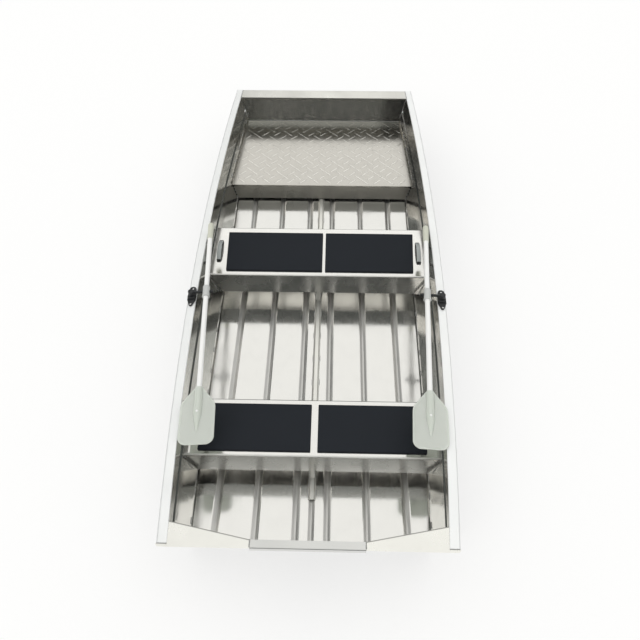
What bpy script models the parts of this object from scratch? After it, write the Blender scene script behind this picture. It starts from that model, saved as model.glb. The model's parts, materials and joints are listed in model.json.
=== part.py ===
"""A welded aluminium jon boat: flat ribbed bottom, flared sides, two benches, a bow deck and two oars.

Metres, +Z up, +Y towards the bow, +X to starboard. The origin is on the ground, half the hull's
length ahead of the stern, and z = 0 is the underside of the pressed ribs that the boat stands on.
"""
import math

import bmesh
import bpy
from mathutils import Matrix

# Fits
GAP = 0.0003            # between pieces that touch
WALL_GAP = 0.0006       # between the side walls and what is welded across them
PIN_CLEARANCE = 0.0006  # round the pins that turn
LEAN = 1.06             # a sheet measured level across a leaning wall, by its thickness

# Hull lines: each row is a value at the stern, amidships and at the bow
HULL_LENGTH = 3.484
HALF_BEAM = (0.648, 0.727, 0.667)
CHINE_HALF = (0.577, 0.605, 0.584)
SHEER = (0.370, 0.383, 0.399)
TRANSOM_RAKE = 0.135
TRANSOM_SETBACK = 0.012
BOW_RAKE = 0.056
BOW_OVERHANG = 0.024
STATIONS = 22

# Bottom sheet
SHEET = 0.0025
BOTTOM_FLANGE = 0.022
RIB_DEPTH = 0.012
RIB_SPACING = 0.198
RIB_FIRST = 0.078
RIBS_EACH_SIDE = 3
RIB_TOP_HALF = 0.0215
RIB_FLAT_HALF = 0.0045
KEEL_TOP_HALF = 0.016
KEEL_FLAT_HALF = 0.003
RIB_STERN_INSET = 0.004
RIB_STERN_FADE = 0.026
RIB_BOW_INSET = 0.260
RIB_BOW_FADE = 0.060
RAKE_START = 0.350
RAKE_BLEND = 0.600
RAKE_SLOPE = 0.145

# Side panels
BEAD_HEIGHT = 0.250
BEAD_HALF = 0.013
BEAD_FLAT_HALF = 0.006
BEAD_DEPTH = 0.007

# Gunwales, caps and corner plates
GUNWALE_WIDTH = 0.048
GUNWALE_WEB = 0.003
GUNWALE_OUTER_LIP = 0.030
GUNWALE_INNER_LIP = 0.012
GUNWALE_RADIUS = 0.009
GUNWALE_STERN_CUT = 0.014
WALL_INSET = 0.026
TRANSOM_PLATE = 0.004
CAP_DEPTH = 0.038
CAP_HALF = 0.249
CAP_LIP = 0.026
BOW_CAP_DEPTH = 0.102
CORNER_PLATE = 0.003
CORNER_REACH = 0.113
CORNER_RADIUS = 0.013

# Keelson
KEELSON_START = 0.385
KEELSON_HALF = 0.013
KEELSON_HEIGHT = 0.010
KEELSON_EDGE = 0.003
KEELSON_FLANGE = 0.004
KEELSON_UNDER_DECK = 0.200

# Bow deck
DECK_HEIGHT = 0.172
DECK_PLATE = 0.003
DECK_AFT = 2.655
DECK_FLANGE = 0.030
DECK_NOTCH = 0.014
DECK_RISER_GAP = 0.016
DECK_RISER_INSET = 0.005
DECK_CLEARANCE = 0.003

# Benches: aft edge and fore edge from the stern
BENCH_HEIGHT = 0.235
BENCH_SHEET = 0.0025
BENCH_LIP = 0.085
BENCH_FOLD = 0.006
BENCH_CORNER_CUT = 0.034
BENCHES = (
    # name, aft edge, fore edge
    ("rear", 0.502, 0.830),
    ("front", 1.717, 2.138),
)
POST_HALF = 0.013
POST_PLATE = 0.004
POST_EDGE = 0.0015
GUSSET_PLATE = 0.0025
GUSSET_LIP = 0.012
GUSSET_FOLD = 0.004
GUSSET_TOP_DROP = 0.010
GUSSET_TOE = 0.018
GUSSET_TOE_INSET = 0.004

# Seat pads
PAD_THICKNESS = 0.011
PAD_RADIUS = 0.005
PAD_MARGINS = {
    # bench: from its aft edge, from its fore edge
    "rear": (0.026, 0.033),
    "front": (0.035, 0.052),
}
PADS = (
    # bench, hand, side, inner edge x, outer edge from the bench's end, how far that edge flares forward
    ("rear", "left", -1, -0.008, 0.0696, 0.0),
    ("rear", "right", 1, 0.026, 0.0696, 0.0),
    ("front", "left", -1, 0.024, 0.0988, 0.017),
    ("front", "right", 1, 0.041, 0.0838, 0.017),
)

# Strap handles on the front bench
HANDLE_SPAN = 0.176
HANDLE_WIDTH = 0.026
HANDLE_RISE = 0.026
HANDLE_STRAP = 0.005
HANDLE_FOOT = 0.026
HANDLE_FOOT_HEIGHT = 0.011
HANDLE_EASE = 0.004
HANDLE_FULLNESS = 2.6
HANDLE_INSET = 0.0438
HANDLE_AFT_SHIFT = 0.0075

# Stern fittings
MOTOR_PAD_WIDTH = 0.300
MOTOR_PAD_HEIGHT = 0.200
MOTOR_PAD_OUTER = 0.006
MOTOR_PAD_INNER = 0.010
MOTOR_PAD_DROP = 0.034
DRAIN_RADIUS = 0.015
DRAIN_LENGTH = 0.010
DRAIN_HEIGHT = 0.040
DRAIN_FLANGE = 0.004
DRAIN_HUB = 0.009

# Bow eye
EYE_ROD = 0.004
EYE_HALF = 0.018
EYE_REACH = 0.018
EYE_HEIGHT = 0.250
EYE_BEND = 0.010

# Oarlocks: base, its raised block, the turning head with its arm, pin and knob
OARLOCK_Y = 1.405
BASE_LENGTH = 0.140
BASE_HALF = 0.0235
BASE_LOBE = 0.0195
BASE_TIP = 0.010
BASE_SHOULDER = 0.022
BASE_PLATE = 0.008
BLOCK_HALF_WIDTH = 0.021
BLOCK_HALF_LENGTH = 0.027
BLOCK_RADIUS = 0.009
BLOCK_HEIGHT = 0.020
BORE_FLOOR = 0.003
POST_RADIUS = 0.008
POST_FOOT = 0.006
HEAD_RADIUS = 0.0165
HEAD_HEIGHT = 0.030
ARM_RADIUS = 0.008
PIN_HEIGHT = 0.037
PIN_RADIUS = 0.0055
PIN_REACH = 0.084
KNOB_RADIUS = 0.010
KNOB_LENGTH = 0.020

# Oars: distances along an oar are from its pin
OARS = (
    # hand, side, how far it is turned in from the keel line, in degrees
    ("left", -1, 4.3),
    ("right", 1, 3.3),
)
OAR_DROP = math.radians(1.7)
GRIP_END = 0.540
GRIP_LENGTH = 0.128
GRIP_RADIUS = 0.0175
GRIP_ROUNDING = 0.005
GRIP_BORE = 0.012
SHAFT_RADIUS = 0.014
SHAFT_WALL = 0.0015
COLLAR_RADIUS = 0.0195
COLLAR_FLARE = 0.022
COLLAR_FLARE_LENGTH = 0.012
COLLAR_LENGTH = 0.076
COLLAR_EDGE = 0.002
BLADE_START = 0.628
BLADE_LENGTH = 0.313
BLADE_EDGE = 0.005
BLADE_NECK = 0.0185
BLADE_SHOULDER = (
    # distance from the neck, half width
    (0.000, 0.0195),
    (0.014, 0.0290),
    (0.040, 0.0485),
    (0.066, 0.0680),
    (0.086, 0.0795),
    (0.104, 0.0845),
    (0.124, 0.0860),
)
BLADE_CORNER = 0.042
SOCKET_DEPTH = 0.150
RIB_TIP_FROM_END = 0.055
RIB_TIP_HALF = 0.003

ROUND = 20


# Worked out from the sizes
STERN = -HULL_LENGTH / 2
BOW = HULL_LENGTH / 2
BOW_HEAD = BOW + BOW_OVERHANG
FLOOR = RIB_DEPTH + SHEET


def from_stern(distance):
    """The y of a place given by its distance from the stern."""
    return STERN + distance


def hull_line(values, y):
    """A parabola through the values at the stern, amidships and at the bow."""
    stern, middle, bow = values
    u = y / (HULL_LENGTH / 2)
    return middle + (bow - stern) / 2 * u + ((bow + stern) / 2 - middle) * u * u


def gunwale_top(y):
    return FLOOR + hull_line(SHEER, y)


def gunwale_outer(y):
    return hull_line(HALF_BEAM, y)


def gunwale_inner(y):
    return gunwale_outer(y) - GUNWALE_WIDTH


def bottom_rise(y):
    """How far the bottom has risen above its flat run, towards the bow."""
    run = y - RAKE_START
    if run <= 0:
        return 0.0
    blended = min(run, RAKE_BLEND)
    return RAKE_SLOPE * blended * blended / (2 * RAKE_BLEND) + RAKE_SLOPE * (run - blended)


def floor_top(y):
    return FLOOR + bottom_rise(y)


def wall_foot(y):
    return floor_top(y) - SHEET


def wall_head(y):
    return gunwale_top(y) - GUNWALE_WEB - GAP


def wall_half(y, z):
    """Half the width between the inner faces of the side panels."""
    foot = hull_line(CHINE_HALF, y)
    head = gunwale_outer(y) - WALL_INSET
    share = (z - wall_foot(y)) / (wall_head(y) - wall_foot(y))
    return foot + (head - foot) * share


def transom_y(z):
    """The outer face of the raked transom."""
    top = gunwale_top(STERN)
    return STERN + TRANSOM_SETBACK + TRANSOM_RAKE * (top - z) / top


def bow_y(z):
    """The outer face of the bow panel."""
    top = gunwale_top(BOW)
    return BOW - BOW_RAKE * (top - z) / top


def bow_foot():
    """Where the bow panel meets the rising bottom."""
    return bow_y(floor_top(bow_y(floor_top(BOW))))


def leaning_lift(plate, rake, top):
    """How much higher the inner edge of a plate ends when the plate leans outwards."""
    return plate * rake / math.hypot(rake, top)


def chine_flange(y):
    """How far the bottom sheet is turned up at the sides; it stays clear under the deck."""
    room = FLOOR + DECK_HEIGHT - DECK_PLATE - floor_top(y) - DECK_CLEARANCE
    return min(BOTTOM_FLANGE, room)


def hull_stations():
    first = STERN + TRANSOM_SETBACK + TRANSOM_RAKE + 0.03
    last = BOW - BOW_RAKE - 0.03
    step = (last - first) / (STATIONS - 1)
    return [first + step * i for i in range(STATIONS)]


def material(name, colour, roughness, metallic=0.0):
    made = bpy.data.materials.new(name)
    made.use_nodes = True
    shader = made.node_tree.nodes["Principled BSDF"]
    shader.inputs["Base Color"].default_value = (*colour, 1.0)
    shader.inputs["Roughness"].default_value = roughness
    shader.inputs["Metallic"].default_value = metallic
    return made


FINISHES = {
    # finish: colour, roughness, metallic
    "aluminium": ((0.80, 0.80, 0.78), 0.22, 1.0),
    "treadplate": ((0.78, 0.76, 0.72), 0.30, 1.0),
    "pad foam": ((0.035, 0.038, 0.042), 0.85, 0.0),
    "black plastic": ((0.02, 0.02, 0.022), 0.45, 0.0),
    "grey plastic": ((0.33, 0.34, 0.34), 0.50, 0.0),
    "blade plastic": ((0.53, 0.55, 0.51), 0.40, 0.0),
    "grip plastic": ((0.62, 0.60, 0.50), 0.55, 0.0),
    "white tube": ((0.90, 0.90, 0.89), 0.18, 0.6),
    "collar plastic": ((0.66, 0.67, 0.67), 0.50, 0.0),
}


def add_object(name, mesh, finish, parent=None):
    made = bpy.data.objects.new(name, mesh)
    bpy.context.scene.collection.objects.link(made)
    made.data.materials.append(material(name + " finish", *FINISHES[finish]))
    made.parent = parent
    return made


def mesh_from(bm, name):
    bmesh.ops.recalc_face_normals(bm, faces=bm.faces)
    mesh = bpy.data.meshes.new(name)
    bm.to_mesh(mesh)
    bm.free()
    return mesh


def smooth(made, angle=35.0):
    made.data.shade_smooth()
    made.data.set_sharp_from_angle(angle=math.radians(angle))
    return made


def sheet(name, rows, thickness, finish, cut_out=()):
    """A bent sheet from rows of points on its face; the thickness goes in behind that face."""
    bm = bmesh.new()
    grid = [[bm.verts.new(point) for point in row] for row in rows]
    for i in range(len(grid) - 1):
        for j in range(len(grid[0]) - 1):
            if (i, j) in cut_out:
                continue
            bm.faces.new((grid[i][j], grid[i][j + 1], grid[i + 1][j + 1], grid[i + 1][j]))
    loose = [vert for vert in bm.verts if not vert.link_faces]
    bmesh.ops.delete(bm, geom=loose, context="VERTS")
    mesh = bpy.data.meshes.new(name)
    bm.to_mesh(mesh)
    bm.free()
    made = add_object(name, mesh, finish)
    wall = made.modifiers.new("Sheet", "SOLIDIFY")
    wall.thickness = thickness
    wall.offset = -1.0
    wall.use_even_offset = True
    return made


def loft_mesh(name, rings):
    """A solid through closed rings of points, with flat ends."""
    bm = bmesh.new()
    made_rings = [[bm.verts.new(point) for point in ring] for ring in rings]
    for ring, following in zip(made_rings, made_rings[1:]):
        for k in range(len(ring)):
            n = (k + 1) % len(ring)
            bm.faces.new((ring[k], ring[n], following[n], following[k]))
    bm.faces.new(made_rings[0])
    bm.faces.new(made_rings[-1])
    return mesh_from(bm, name)


def loft(name, rings, finish, parent=None):
    return add_object(name, loft_mesh(name, rings), finish, parent)


def turned(name, profile, finish, parent=None, segments=ROUND):
    """A round piece about the Y axis, from its closed outline of radius and y."""
    rings = len(profile)
    bm = bmesh.new()
    verts = []
    for k in range(segments):
        angle = 2 * math.pi * k / segments
        verts.append([bm.verts.new((r * math.cos(angle), y, r * math.sin(angle))) for r, y in profile])
    for k in range(segments):
        n = (k + 1) % segments
        for i in range(rings):
            j = (i + 1) % rings
            bm.faces.new((verts[k][i], verts[k][j], verts[n][j], verts[n][i]))
    bmesh.ops.remove_doubles(bm, verts=bm.verts, dist=0.00001)
    return smooth(add_object(name, mesh_from(bm, name), finish, parent))


def cylinder_mesh(name, radius, start, end, axis="Z", segments=ROUND):
    bm = bmesh.new()
    bmesh.ops.create_cone(bm, cap_ends=True, segments=segments, radius1=radius, radius2=radius,
                          depth=end - start)
    degrees, about = {"X": (90, "Y"), "Y": (-90, "X"), "Z": (0, "Z")}[axis]
    turn = Matrix.Rotation(math.radians(degrees), 4, about)
    bmesh.ops.transform(bm, matrix=turn @ Matrix.Translation((0.0, 0.0, (start + end) / 2)), verts=bm.verts)
    return mesh_from(bm, name)


def guide(name, mesh, parent=None):
    """A shape that only cuts or joins another one."""
    made = bpy.data.objects.new(name, mesh)
    bpy.context.scene.collection.objects.link(made)
    made.parent = parent
    made.hide_render = True
    made.display_type = "WIRE"
    return made


def combine(target, other, operation):
    step = target.modifiers.new(operation.title(), "BOOLEAN")
    step.operation = operation
    step.solver = "EXACT"
    step.object = other


def prism(name, outline, low, high, finish):
    """An outline in plan, standing from one height to another."""
    rings = [[(x, y, z) for x, y in outline] for z in (low, high)]
    return loft(name, rings, finish)


def rounded_rectangle(x0, x1, y0, y1, radius, steps=5):
    corners = ((x1, y1, 0), (x0, y1, 90), (x0, y0, 180), (x1, y0, 270))
    points = []
    for x, y, first in corners:
        centre_x = x - radius if x == x1 else x + radius
        centre_y = y - radius if y == y1 else y + radius
        for k in range(steps + 1):
            angle = math.radians(first + 90 * k / steps)
            points.append((centre_x + radius * math.cos(angle), centre_y + radius * math.sin(angle)))
    return points


def build_bottom():
    """The bottom sheet: flat between pressed ribs and a centre keel, turned up at the chines."""
    stern = transom_y(FLOOR)
    bow = bow_foot()
    start = stern + RIB_STERN_INSET
    end = bow - RIB_BOW_INSET
    full = (start + RIB_STERN_FADE, end - RIB_BOW_FADE)
    marks = [stern, start, *full, end, bow]
    rows_at = sorted(marks + [y for y in hull_stations() if full[0] < y < bow
                              and abs(y - end) > 0.02 and abs(y - full[1]) > 0.02])
    channels = [(0.0, KEEL_TOP_HALF, KEEL_FLAT_HALF)]
    for k in range(RIBS_EACH_SIDE):
        place = RIB_FIRST + RIB_SPACING * k
        channels.append((place, RIB_TOP_HALF, RIB_FLAT_HALF))
        channels.append((-place, RIB_TOP_HALF, RIB_FLAT_HALF))
    channels.sort()
    rows = []
    for y in rows_at:
        fade = min(max((y - start) / RIB_STERN_FADE, 0.0), max((end - y) / RIB_BOW_FADE, 0.0), 1.0)
        top = floor_top(y)
        lean = SHEET * LEAN + WALL_GAP
        edge = wall_half(y, top) - lean
        rim = top + chine_flange(y)
        flange = wall_half(y, rim) - lean
        row = [(-flange, y, rim), (-edge, y, top)]
        for place, top_half, flat_half in channels:
            low = top - RIB_DEPTH * fade
            row += [(place - top_half, y, top), (place - flat_half, y, low),
                    (place + flat_half, y, low), (place + top_half, y, top)]
        row += [(edge, y, top), (flange, y, rim)]
        rows.append(row)
    last_row = len(rows) - 2
    last_strip = len(rows[0]) - 2
    ends = ((0, 0), (0, last_strip), (last_row, 0), (last_row, last_strip))
    sheet("bottom_sheet", rows, SHEET, "aluminium", cut_out=ends)


def wall_rows(side):
    """The inner face of a side panel with its pressed bead, station by station."""
    bead = FLOOR + BEAD_HEIGHT
    stations = [(STERN + TRANSOM_RAKE, STERN, transom_y)]
    stations += [(y, y, lambda z, y=y: y) for y in hull_stations()]
    stations += [(bow_foot(), BOW, bow_y)]
    rows = []
    for foot_y, head_y, y_at in stations:
        heights = (
            # z, how far out the sheet is pressed
            (wall_foot(foot_y), 0.0),
            (bead - BEAD_HALF, 0.0),
            (bead - BEAD_FLAT_HALF, BEAD_DEPTH),
            (bead + BEAD_FLAT_HALF, BEAD_DEPTH),
            (bead + BEAD_HALF, 0.0),
            (wall_head(head_y), 0.0),
        )
        row = [(side * (wall_half(y_at(z), z) + out), y_at(z), z) for z, out in heights]
        rows.append(row if side > 0 else row[::-1])
    return rows


def build_sides():
    for side, hand in ((-1, "left"), (1, "right")):
        sheet("side_panel_" + hand, wall_rows(side), SHEET, "aluminium")


def end_panel(name, face_y, low, high, towards, plate, shoulder, neck_half):
    """The transom or the bow panel, fitted between the side panels.

    Above its shoulder the panel is cut back to clear what hangs down at its upper corners.
    """
    inset = WALL_GAP * 2
    rows = []
    for k in range(4):
        z = low + (shoulder - low) * k / 3
        y = face_y(z)
        half = min(wall_half(y, z), wall_half(y - towards * plate, z)) - inset
        rows.append([(towards * half, y, z), (-towards * half, y, z)])
    for z in (shoulder + GAP, high):
        rows.append([(towards * neck_half, face_y(z), z), (-towards * neck_half, face_y(z), z)])
    sheet(name, rows, plate, "aluminium")


def build_ends():
    ends = (
        # name, face, level of its foot, its head's y, side it faces, plate, rake
        ("transom_panel", transom_y, FLOOR, STERN, -1, TRANSOM_PLATE, TRANSOM_RAKE),
        ("bow_panel", bow_y, floor_top(bow_foot()), BOW, 1, SHEET, BOW_RAKE),
    )
    for name, face_y, foot, head_y, towards, plate, rake in ends:
        top = gunwale_top(head_y) - leaning_lift(plate, rake, gunwale_top(head_y))
        high = top - max(GUNWALE_WEB, CORNER_PLATE) - GAP
        shoulder = top - GUNWALE_INNER_LIP - WALL_GAP * 2
        neck = gunwale_inner(head_y) - WALL_GAP
        end_panel(name, face_y, foot + GAP, high, towards, plate, shoulder, neck)


def gunwale_section():
    """Across the extrusion: u outwards from its inner edge, v up from its top."""
    w = GUNWALE_WIDTH
    web = GUNWALE_WEB
    r = GUNWALE_RADIUS
    outer = [(w - r + r * math.sin(a), -r + r * math.cos(a)) for a in
             (math.radians(18 * k) for k in range(6))]
    inside = [(w - r + (r - web) * math.sin(a), -r + (r - web) * math.cos(a)) for a in
              (math.radians(30 * k) for k in range(3, -1, -1))]
    return ([(0.0, -GUNWALE_INNER_LIP), (0.0, -0.001), (0.001, 0.0)] + outer
            + [(w, -GUNWALE_OUTER_LIP), (w - web, -GUNWALE_OUTER_LIP)] + inside
            + [(web, -web), (web, -GUNWALE_INNER_LIP)])


def build_gunwales():
    ends = [STERN + GUNWALE_STERN_CUT] + hull_stations() + [BOW_HEAD]
    for side, hand in ((-1, "left"), (1, "right")):
        rings = []
        for y in ends:
            rings.append([(side * (gunwale_inner(y) + u), y, gunwale_top(y) + v)
                          for u, v in gunwale_section()])
        smooth(loft("gunwale_" + hand, rings, "aluminium"), 25.0)


def cap_section(depth, lip_out, lip_in):
    """Along the boat: s from the outer edge inwards, v up from the top."""
    web = GUNWALE_WEB
    r = 0.006
    arc = [(r - r * math.cos(a), -r + r * math.sin(a)) for a in (math.radians(30 * k) for k in range(4))]
    return ([(0.0, -lip_out)] + arc + [(depth, 0.0), (depth, -lip_in), (depth - web, -lip_in),
            (depth - web, -web), (web, -web), (web, -lip_out)])


def build_caps():
    top = gunwale_top(STERN)
    section = cap_section(CAP_DEPTH, CAP_LIP, GUNWALE_INNER_LIP)
    rings = [[(x, STERN + s, top + v) for s, v in section] for x in (-CAP_HALF + GAP, CAP_HALF - GAP)]
    loft("transom_cap", rings, "aluminium")
    section = cap_section(BOW_CAP_DEPTH, GUNWALE_OUTER_LIP, GUNWALE_INNER_LIP)
    places = [(BOW_HEAD - s, v) for s, v in section]
    rings = [[(side * (gunwale_inner(y) - GAP), y, gunwale_top(y) + v) for y, v in places]
             for side in (-1, 1)]
    loft("bow_cap", rings, "aluminium")
    build_corner_plates()


def build_corner_plates():
    top = gunwale_top(STERN)
    cut = STERN + GUNWALE_STERN_CUT - GAP
    reach = STERN + CORNER_REACH
    for side, hand in ((-1, "left"), (1, "right")):
        outer = gunwale_outer(cut)
        outline = [(CAP_HALF, STERN)]
        for k in range(6):
            angle = math.radians(90 * k / 5)
            outline.append((outer - CORNER_RADIUS + CORNER_RADIUS * math.sin(angle),
                            STERN + CORNER_RADIUS - CORNER_RADIUS * math.cos(angle)))
        outline += [(outer, cut), (gunwale_inner(cut) - GAP, cut),
                    (gunwale_inner(reach) - GAP * 2, reach), (CAP_HALF, STERN + CAP_DEPTH)]
        outline = [(side * x, y) for x, y in outline]
        prism("corner_plate_" + hand, outline, top - CORNER_PLATE, top, "aluminium")


def build_keelson():
    start = from_stern(KEELSON_START)
    end = from_stern(DECK_AFT) + KEELSON_UNDER_DECK
    ys = [start] + [y for y in hull_stations() if start + 0.02 < y < end - 0.02] + [end]
    rings = []
    for y in ys:
        z = floor_top(y) + WALL_GAP
        top_half = KEELSON_HALF - KEELSON_EDGE
        foot_half = KEEL_TOP_HALF + KEELSON_FLANGE
        rings.append([(-foot_half, y, z), (foot_half, y, z),
                      (KEELSON_HALF, y, z + KEELSON_EDGE), (top_half, y, z + KEELSON_HEIGHT),
                      (-top_half, y, z + KEELSON_HEIGHT), (-KEELSON_HALF, y, z + KEELSON_EDGE)])
    loft("keelson", rings, "aluminium")


def build_deck():
    """The bow deck: one treadplate sheet, turned up along the sides and down at its aft edge."""
    top = FLOOR + DECK_HEIGHT
    aft = from_stern(DECK_AFT)
    fore = bow_y(top - DECK_PLATE) - SHEET * LEAN - GAP
    ys = [aft] + [y for y in hull_stations() if aft + 0.02 < y < fore - 0.02] + [fore]
    lean = WALL_GAP + DECK_PLATE * LEAN
    rows = []
    for y in ys:
        foot = wall_half(y, top) - lean
        head = wall_half(y, top + DECK_FLANGE) - lean
        inner = foot - DECK_NOTCH
        rows.append([(-head, y, top + DECK_FLANGE), (-foot, y, top), (-inner, y, top), (inner, y, top),
                     (foot, y, top), (head, y, top + DECK_FLANGE)])
    riser = []
    for z in (floor_top(aft) + DECK_RISER_GAP, top - DECK_NOTCH):
        half = wall_half(aft, z) - DECK_RISER_INSET
        columns = (-half, -half, DECK_NOTCH - half, half - DECK_NOTCH, half, half)
        riser.append([(x, aft, z) for x in columns])
    notches = ((0, 0), (0, 4), (1, 0), (1, 1), (1, 3), (1, 4))
    sheet("bow_deck", riser + rows, DECK_PLATE, "treadplate", cut_out=notches)


def bench_end(y, z):
    """Where a bench stops at the side: at the wall on top, cut away towards its lower lips."""
    share = (FLOOR + BENCH_HEIGHT - z) / (BENCH_HEIGHT - BENCH_LIP)
    return wall_half(y, z) - WALL_GAP - GAP - BENCH_CORNER_CUT * max(share, 0.0)


def build_benches():
    for name, aft, fore in BENCHES:
        y0 = from_stern(aft)
        y1 = from_stern(fore)
        top = FLOOR + BENCH_HEIGHT
        lip = FLOOR + BENCH_LIP
        fold = BENCH_FOLD
        section = [(y0, lip), (y0, top - fold), (y0 + fold * 0.3, top - fold * 0.3), (y0 + fold, top),
                   (y1 - fold, top), (y1 - fold * 0.3, top - fold * 0.3), (y1, top - fold), (y1, lip)]
        rows = [[(-bench_end(y, z), y, z), (bench_end(y, z), y, z)] for y, z in section]
        sheet(name + "_bench", rows, BENCH_SHEET, "aluminium")
        build_bench_post(name, y0)
        build_gussets(name, y0)


def build_bench_post(name, y0):
    low = floor_top(y0) + WALL_GAP + KEELSON_HEIGHT + GAP
    high = FLOOR + BENCH_LIP - GAP
    foot = rounded_rectangle(-POST_HALF, POST_HALF, y0 + GAP, y0 + POST_PLATE, POST_EDGE, steps=2)
    prism(name + "_bench_post", foot, low, high, "aluminium")


def build_gussets(name, y0):
    """Triangular end plates between the wall and the cut corner of the aft riser."""
    high = FLOOR + BENCH_HEIGHT - GUSSET_TOP_DROP
    low = FLOOR + BENCH_LIP
    back = y0 - GAP * 2
    front = back - GUSSET_PLATE
    lip = back - GUSSET_LIP
    toe = low + GUSSET_TOE
    under = high - GUSSET_FOLD
    for side, hand in ((-1, "left"), (1, "right")):
        tip = side * (bench_end(y0, low) + GUSSET_TOE_INSET)
        upper, beneath, lower = (side * (wall_half(lip, z) - WALL_GAP * 2) for z in (high, under, low))
        plate = [(upper, high), (lower, low), (tip, low), (tip, toe)]
        rings = [[(x, y, z) for x, z in plate] for y in (back, front)]
        gusset = loft("{}_gusset_{}".format(name, hand), rings, "aluminium")
        edge = [(upper, high), (tip, toe), (tip, toe - GUSSET_FOLD), (beneath, under)]
        rings = [[(x, y, z) for x, z in edge] for y in (back - GAP, lip)]
        fold = guide("{}_gusset_fold_{}".format(name, hand), loft_mesh("fold", rings))
        combine(gusset, fold, "UNION")


def build_pads():
    edges = {name: (from_stern(aft), from_stern(fore)) for name, aft, fore in BENCHES}
    low = FLOOR + BENCH_HEIGHT + GAP
    for bench, hand, side, inner, margin, flare in PADS:
        y0 = edges[bench][0] + PAD_MARGINS[bench][0]
        y1 = edges[bench][1] - PAD_MARGINS[bench][1]
        outer = side * (bench_end(y0, FLOOR + BENCH_HEIGHT) - margin)
        outline = []
        for x, y in rounded_rectangle(min(inner, outer), max(inner, outer), y0, y1, PAD_RADIUS):
            share = (x - inner) / (outer - inner) * (y - y0) / (y1 - y0)
            outline.append((x + side * flare * share, y))
        prism("{}_pad_{}".format(bench, hand), outline, low, low + PAD_THICKNESS, "pad foam")


def handle_arch(t):
    """The height of the strap's top, t running from its middle to its end."""
    return HANDLE_FOOT_HEIGHT + HANDLE_RISE * (1 - t ** HANDLE_FULLNESS)


def build_handles():
    """Low strap handles: two feet and a springy arch between them, seen from the side."""
    half = HANDLE_SPAN / 2
    base = FLOOR + BENCH_HEIGHT + GAP
    aft, fore = BENCHES[1][1:]
    middle = from_stern((aft + fore) / 2 - HANDLE_AFT_SHIFT)
    place = bench_end(middle, FLOOR + BENCH_HEIGHT) - HANDLE_INSET
    steps = 14
    inner_half = half - HANDLE_FOOT
    outer = []
    inner = []
    for k in range(steps + 1):
        t = -1 + 2 * k / steps
        outer.append((t * half, handle_arch(abs(t)) - HANDLE_EASE * abs(t) ** 8))
        inner.append((-t * inner_half, handle_arch(abs(t) * inner_half / half) - HANDLE_STRAP))
    outline = [(-half, 0.0)] + outer + [(half, 0.0), (inner_half, 0.0)] + inner + [(-inner_half, 0.0)]
    for side, hand in ((-1, "left"), (1, "right")):
        x0 = side * place - HANDLE_WIDTH / 2
        rings = [[(x, middle + y, base + z) for y, z in outline] for x in (x0, x0 + HANDLE_WIDTH)]
        smooth(loft("strap_handle_" + hand, rings, "grey plastic"))


def transom_frame(z):
    """A place on the transom's outer face, with its tilt about X."""
    tilt = math.atan2(TRANSOM_RAKE, gunwale_top(STERN))
    return (0.0, transom_y(z), z), tilt


def flat_pad(name, width, height, thickness, finish, low_face, z):
    """A plate lying on the transom: low_face is its near face's distance out from the outer face."""
    place, tilt = transom_frame(z)
    outline = rounded_rectangle(-width / 2, width / 2, -height / 2, height / 2, 0.012, steps=4)
    rings = [[(x, y, v) for x, v in outline] for y in (-low_face, -low_face - thickness)]
    made = loft(name, rings, finish)
    made.location = place
    made.rotation_euler = (tilt, 0.0, 0.0)


def build_stern_fittings():
    middle = gunwale_top(STERN) - MOTOR_PAD_DROP - MOTOR_PAD_HEIGHT / 2
    flat_pad("motor_pad_outer", MOTOR_PAD_WIDTH, MOTOR_PAD_HEIGHT, MOTOR_PAD_OUTER, "black plastic",
             GAP, middle)
    flat_pad("motor_pad_inner", MOTOR_PAD_WIDTH, MOTOR_PAD_HEIGHT, MOTOR_PAD_INNER, "black plastic",
             -TRANSOM_PLATE - MOTOR_PAD_INNER - GAP * 2, middle)
    place, tilt = transom_frame(FLOOR + DRAIN_HEIGHT)
    profile = [(0.0, -GAP), (DRAIN_RADIUS, -GAP), (DRAIN_RADIUS, -DRAIN_FLANGE), (DRAIN_HUB, -DRAIN_FLANGE),
               (DRAIN_HUB, -DRAIN_LENGTH), (0.0, -DRAIN_LENGTH)]
    plug = turned("drain_plug", profile, "black plastic")
    plug.location = place
    plug.rotation_euler = (tilt, 0.0, 0.0)


def build_bow_eye():
    """A bent rod on the bow panel's outer face."""
    z = FLOOR + EYE_HEIGHT
    slope = BOW_RAKE / gunwale_top(BOW)
    face = bow_y(z) + GAP + slope * EYE_ROD
    points = [(0.0, face + slope * EYE_HALF, z + EYE_HALF)]
    for k in range(9):
        angle = math.radians(180 * k / 8)
        points.append((0.0, face + EYE_REACH - EYE_BEND + EYE_BEND * math.sin(angle) - EYE_ROD,
                       z + EYE_HALF * math.cos(angle)))
    points.append((0.0, face - slope * EYE_HALF, z - EYE_HALF))
    curve = bpy.data.curves.new("bow_eye", "CURVE")
    curve.dimensions = "3D"
    curve.bevel_depth = EYE_ROD
    curve.bevel_resolution = 2
    curve.use_fill_caps = True
    spline = curve.splines.new("POLY")
    spline.points.add(len(points) - 1)
    for point, place in zip(spline.points, points):
        point.co = (*place, 1.0)
    add_object("bow_eye", curve, "aluminium")


def oarlock_base_outline():
    """In plan: a round lobe forward, straight sides and a narrow tip aft."""
    half = BASE_LENGTH / 2
    fore = []
    aft = []
    for k in range(7):
        angle = math.radians(-66 + 22 * k)
        fore.append((BASE_LOBE * math.sin(angle), half - BASE_LOBE + BASE_LOBE * math.cos(angle)))
        aft.append((-BASE_TIP * math.sin(angle), -half + BASE_TIP - BASE_TIP * math.cos(angle)))
    right = [(BASE_HALF, BASE_SHOULDER), (BASE_HALF, -BLOCK_HALF_LENGTH)]
    left = [(-BASE_HALF, -BLOCK_HALF_LENGTH), (-BASE_HALF, BASE_SHOULDER)]
    return fore + right + aft + left


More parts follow.
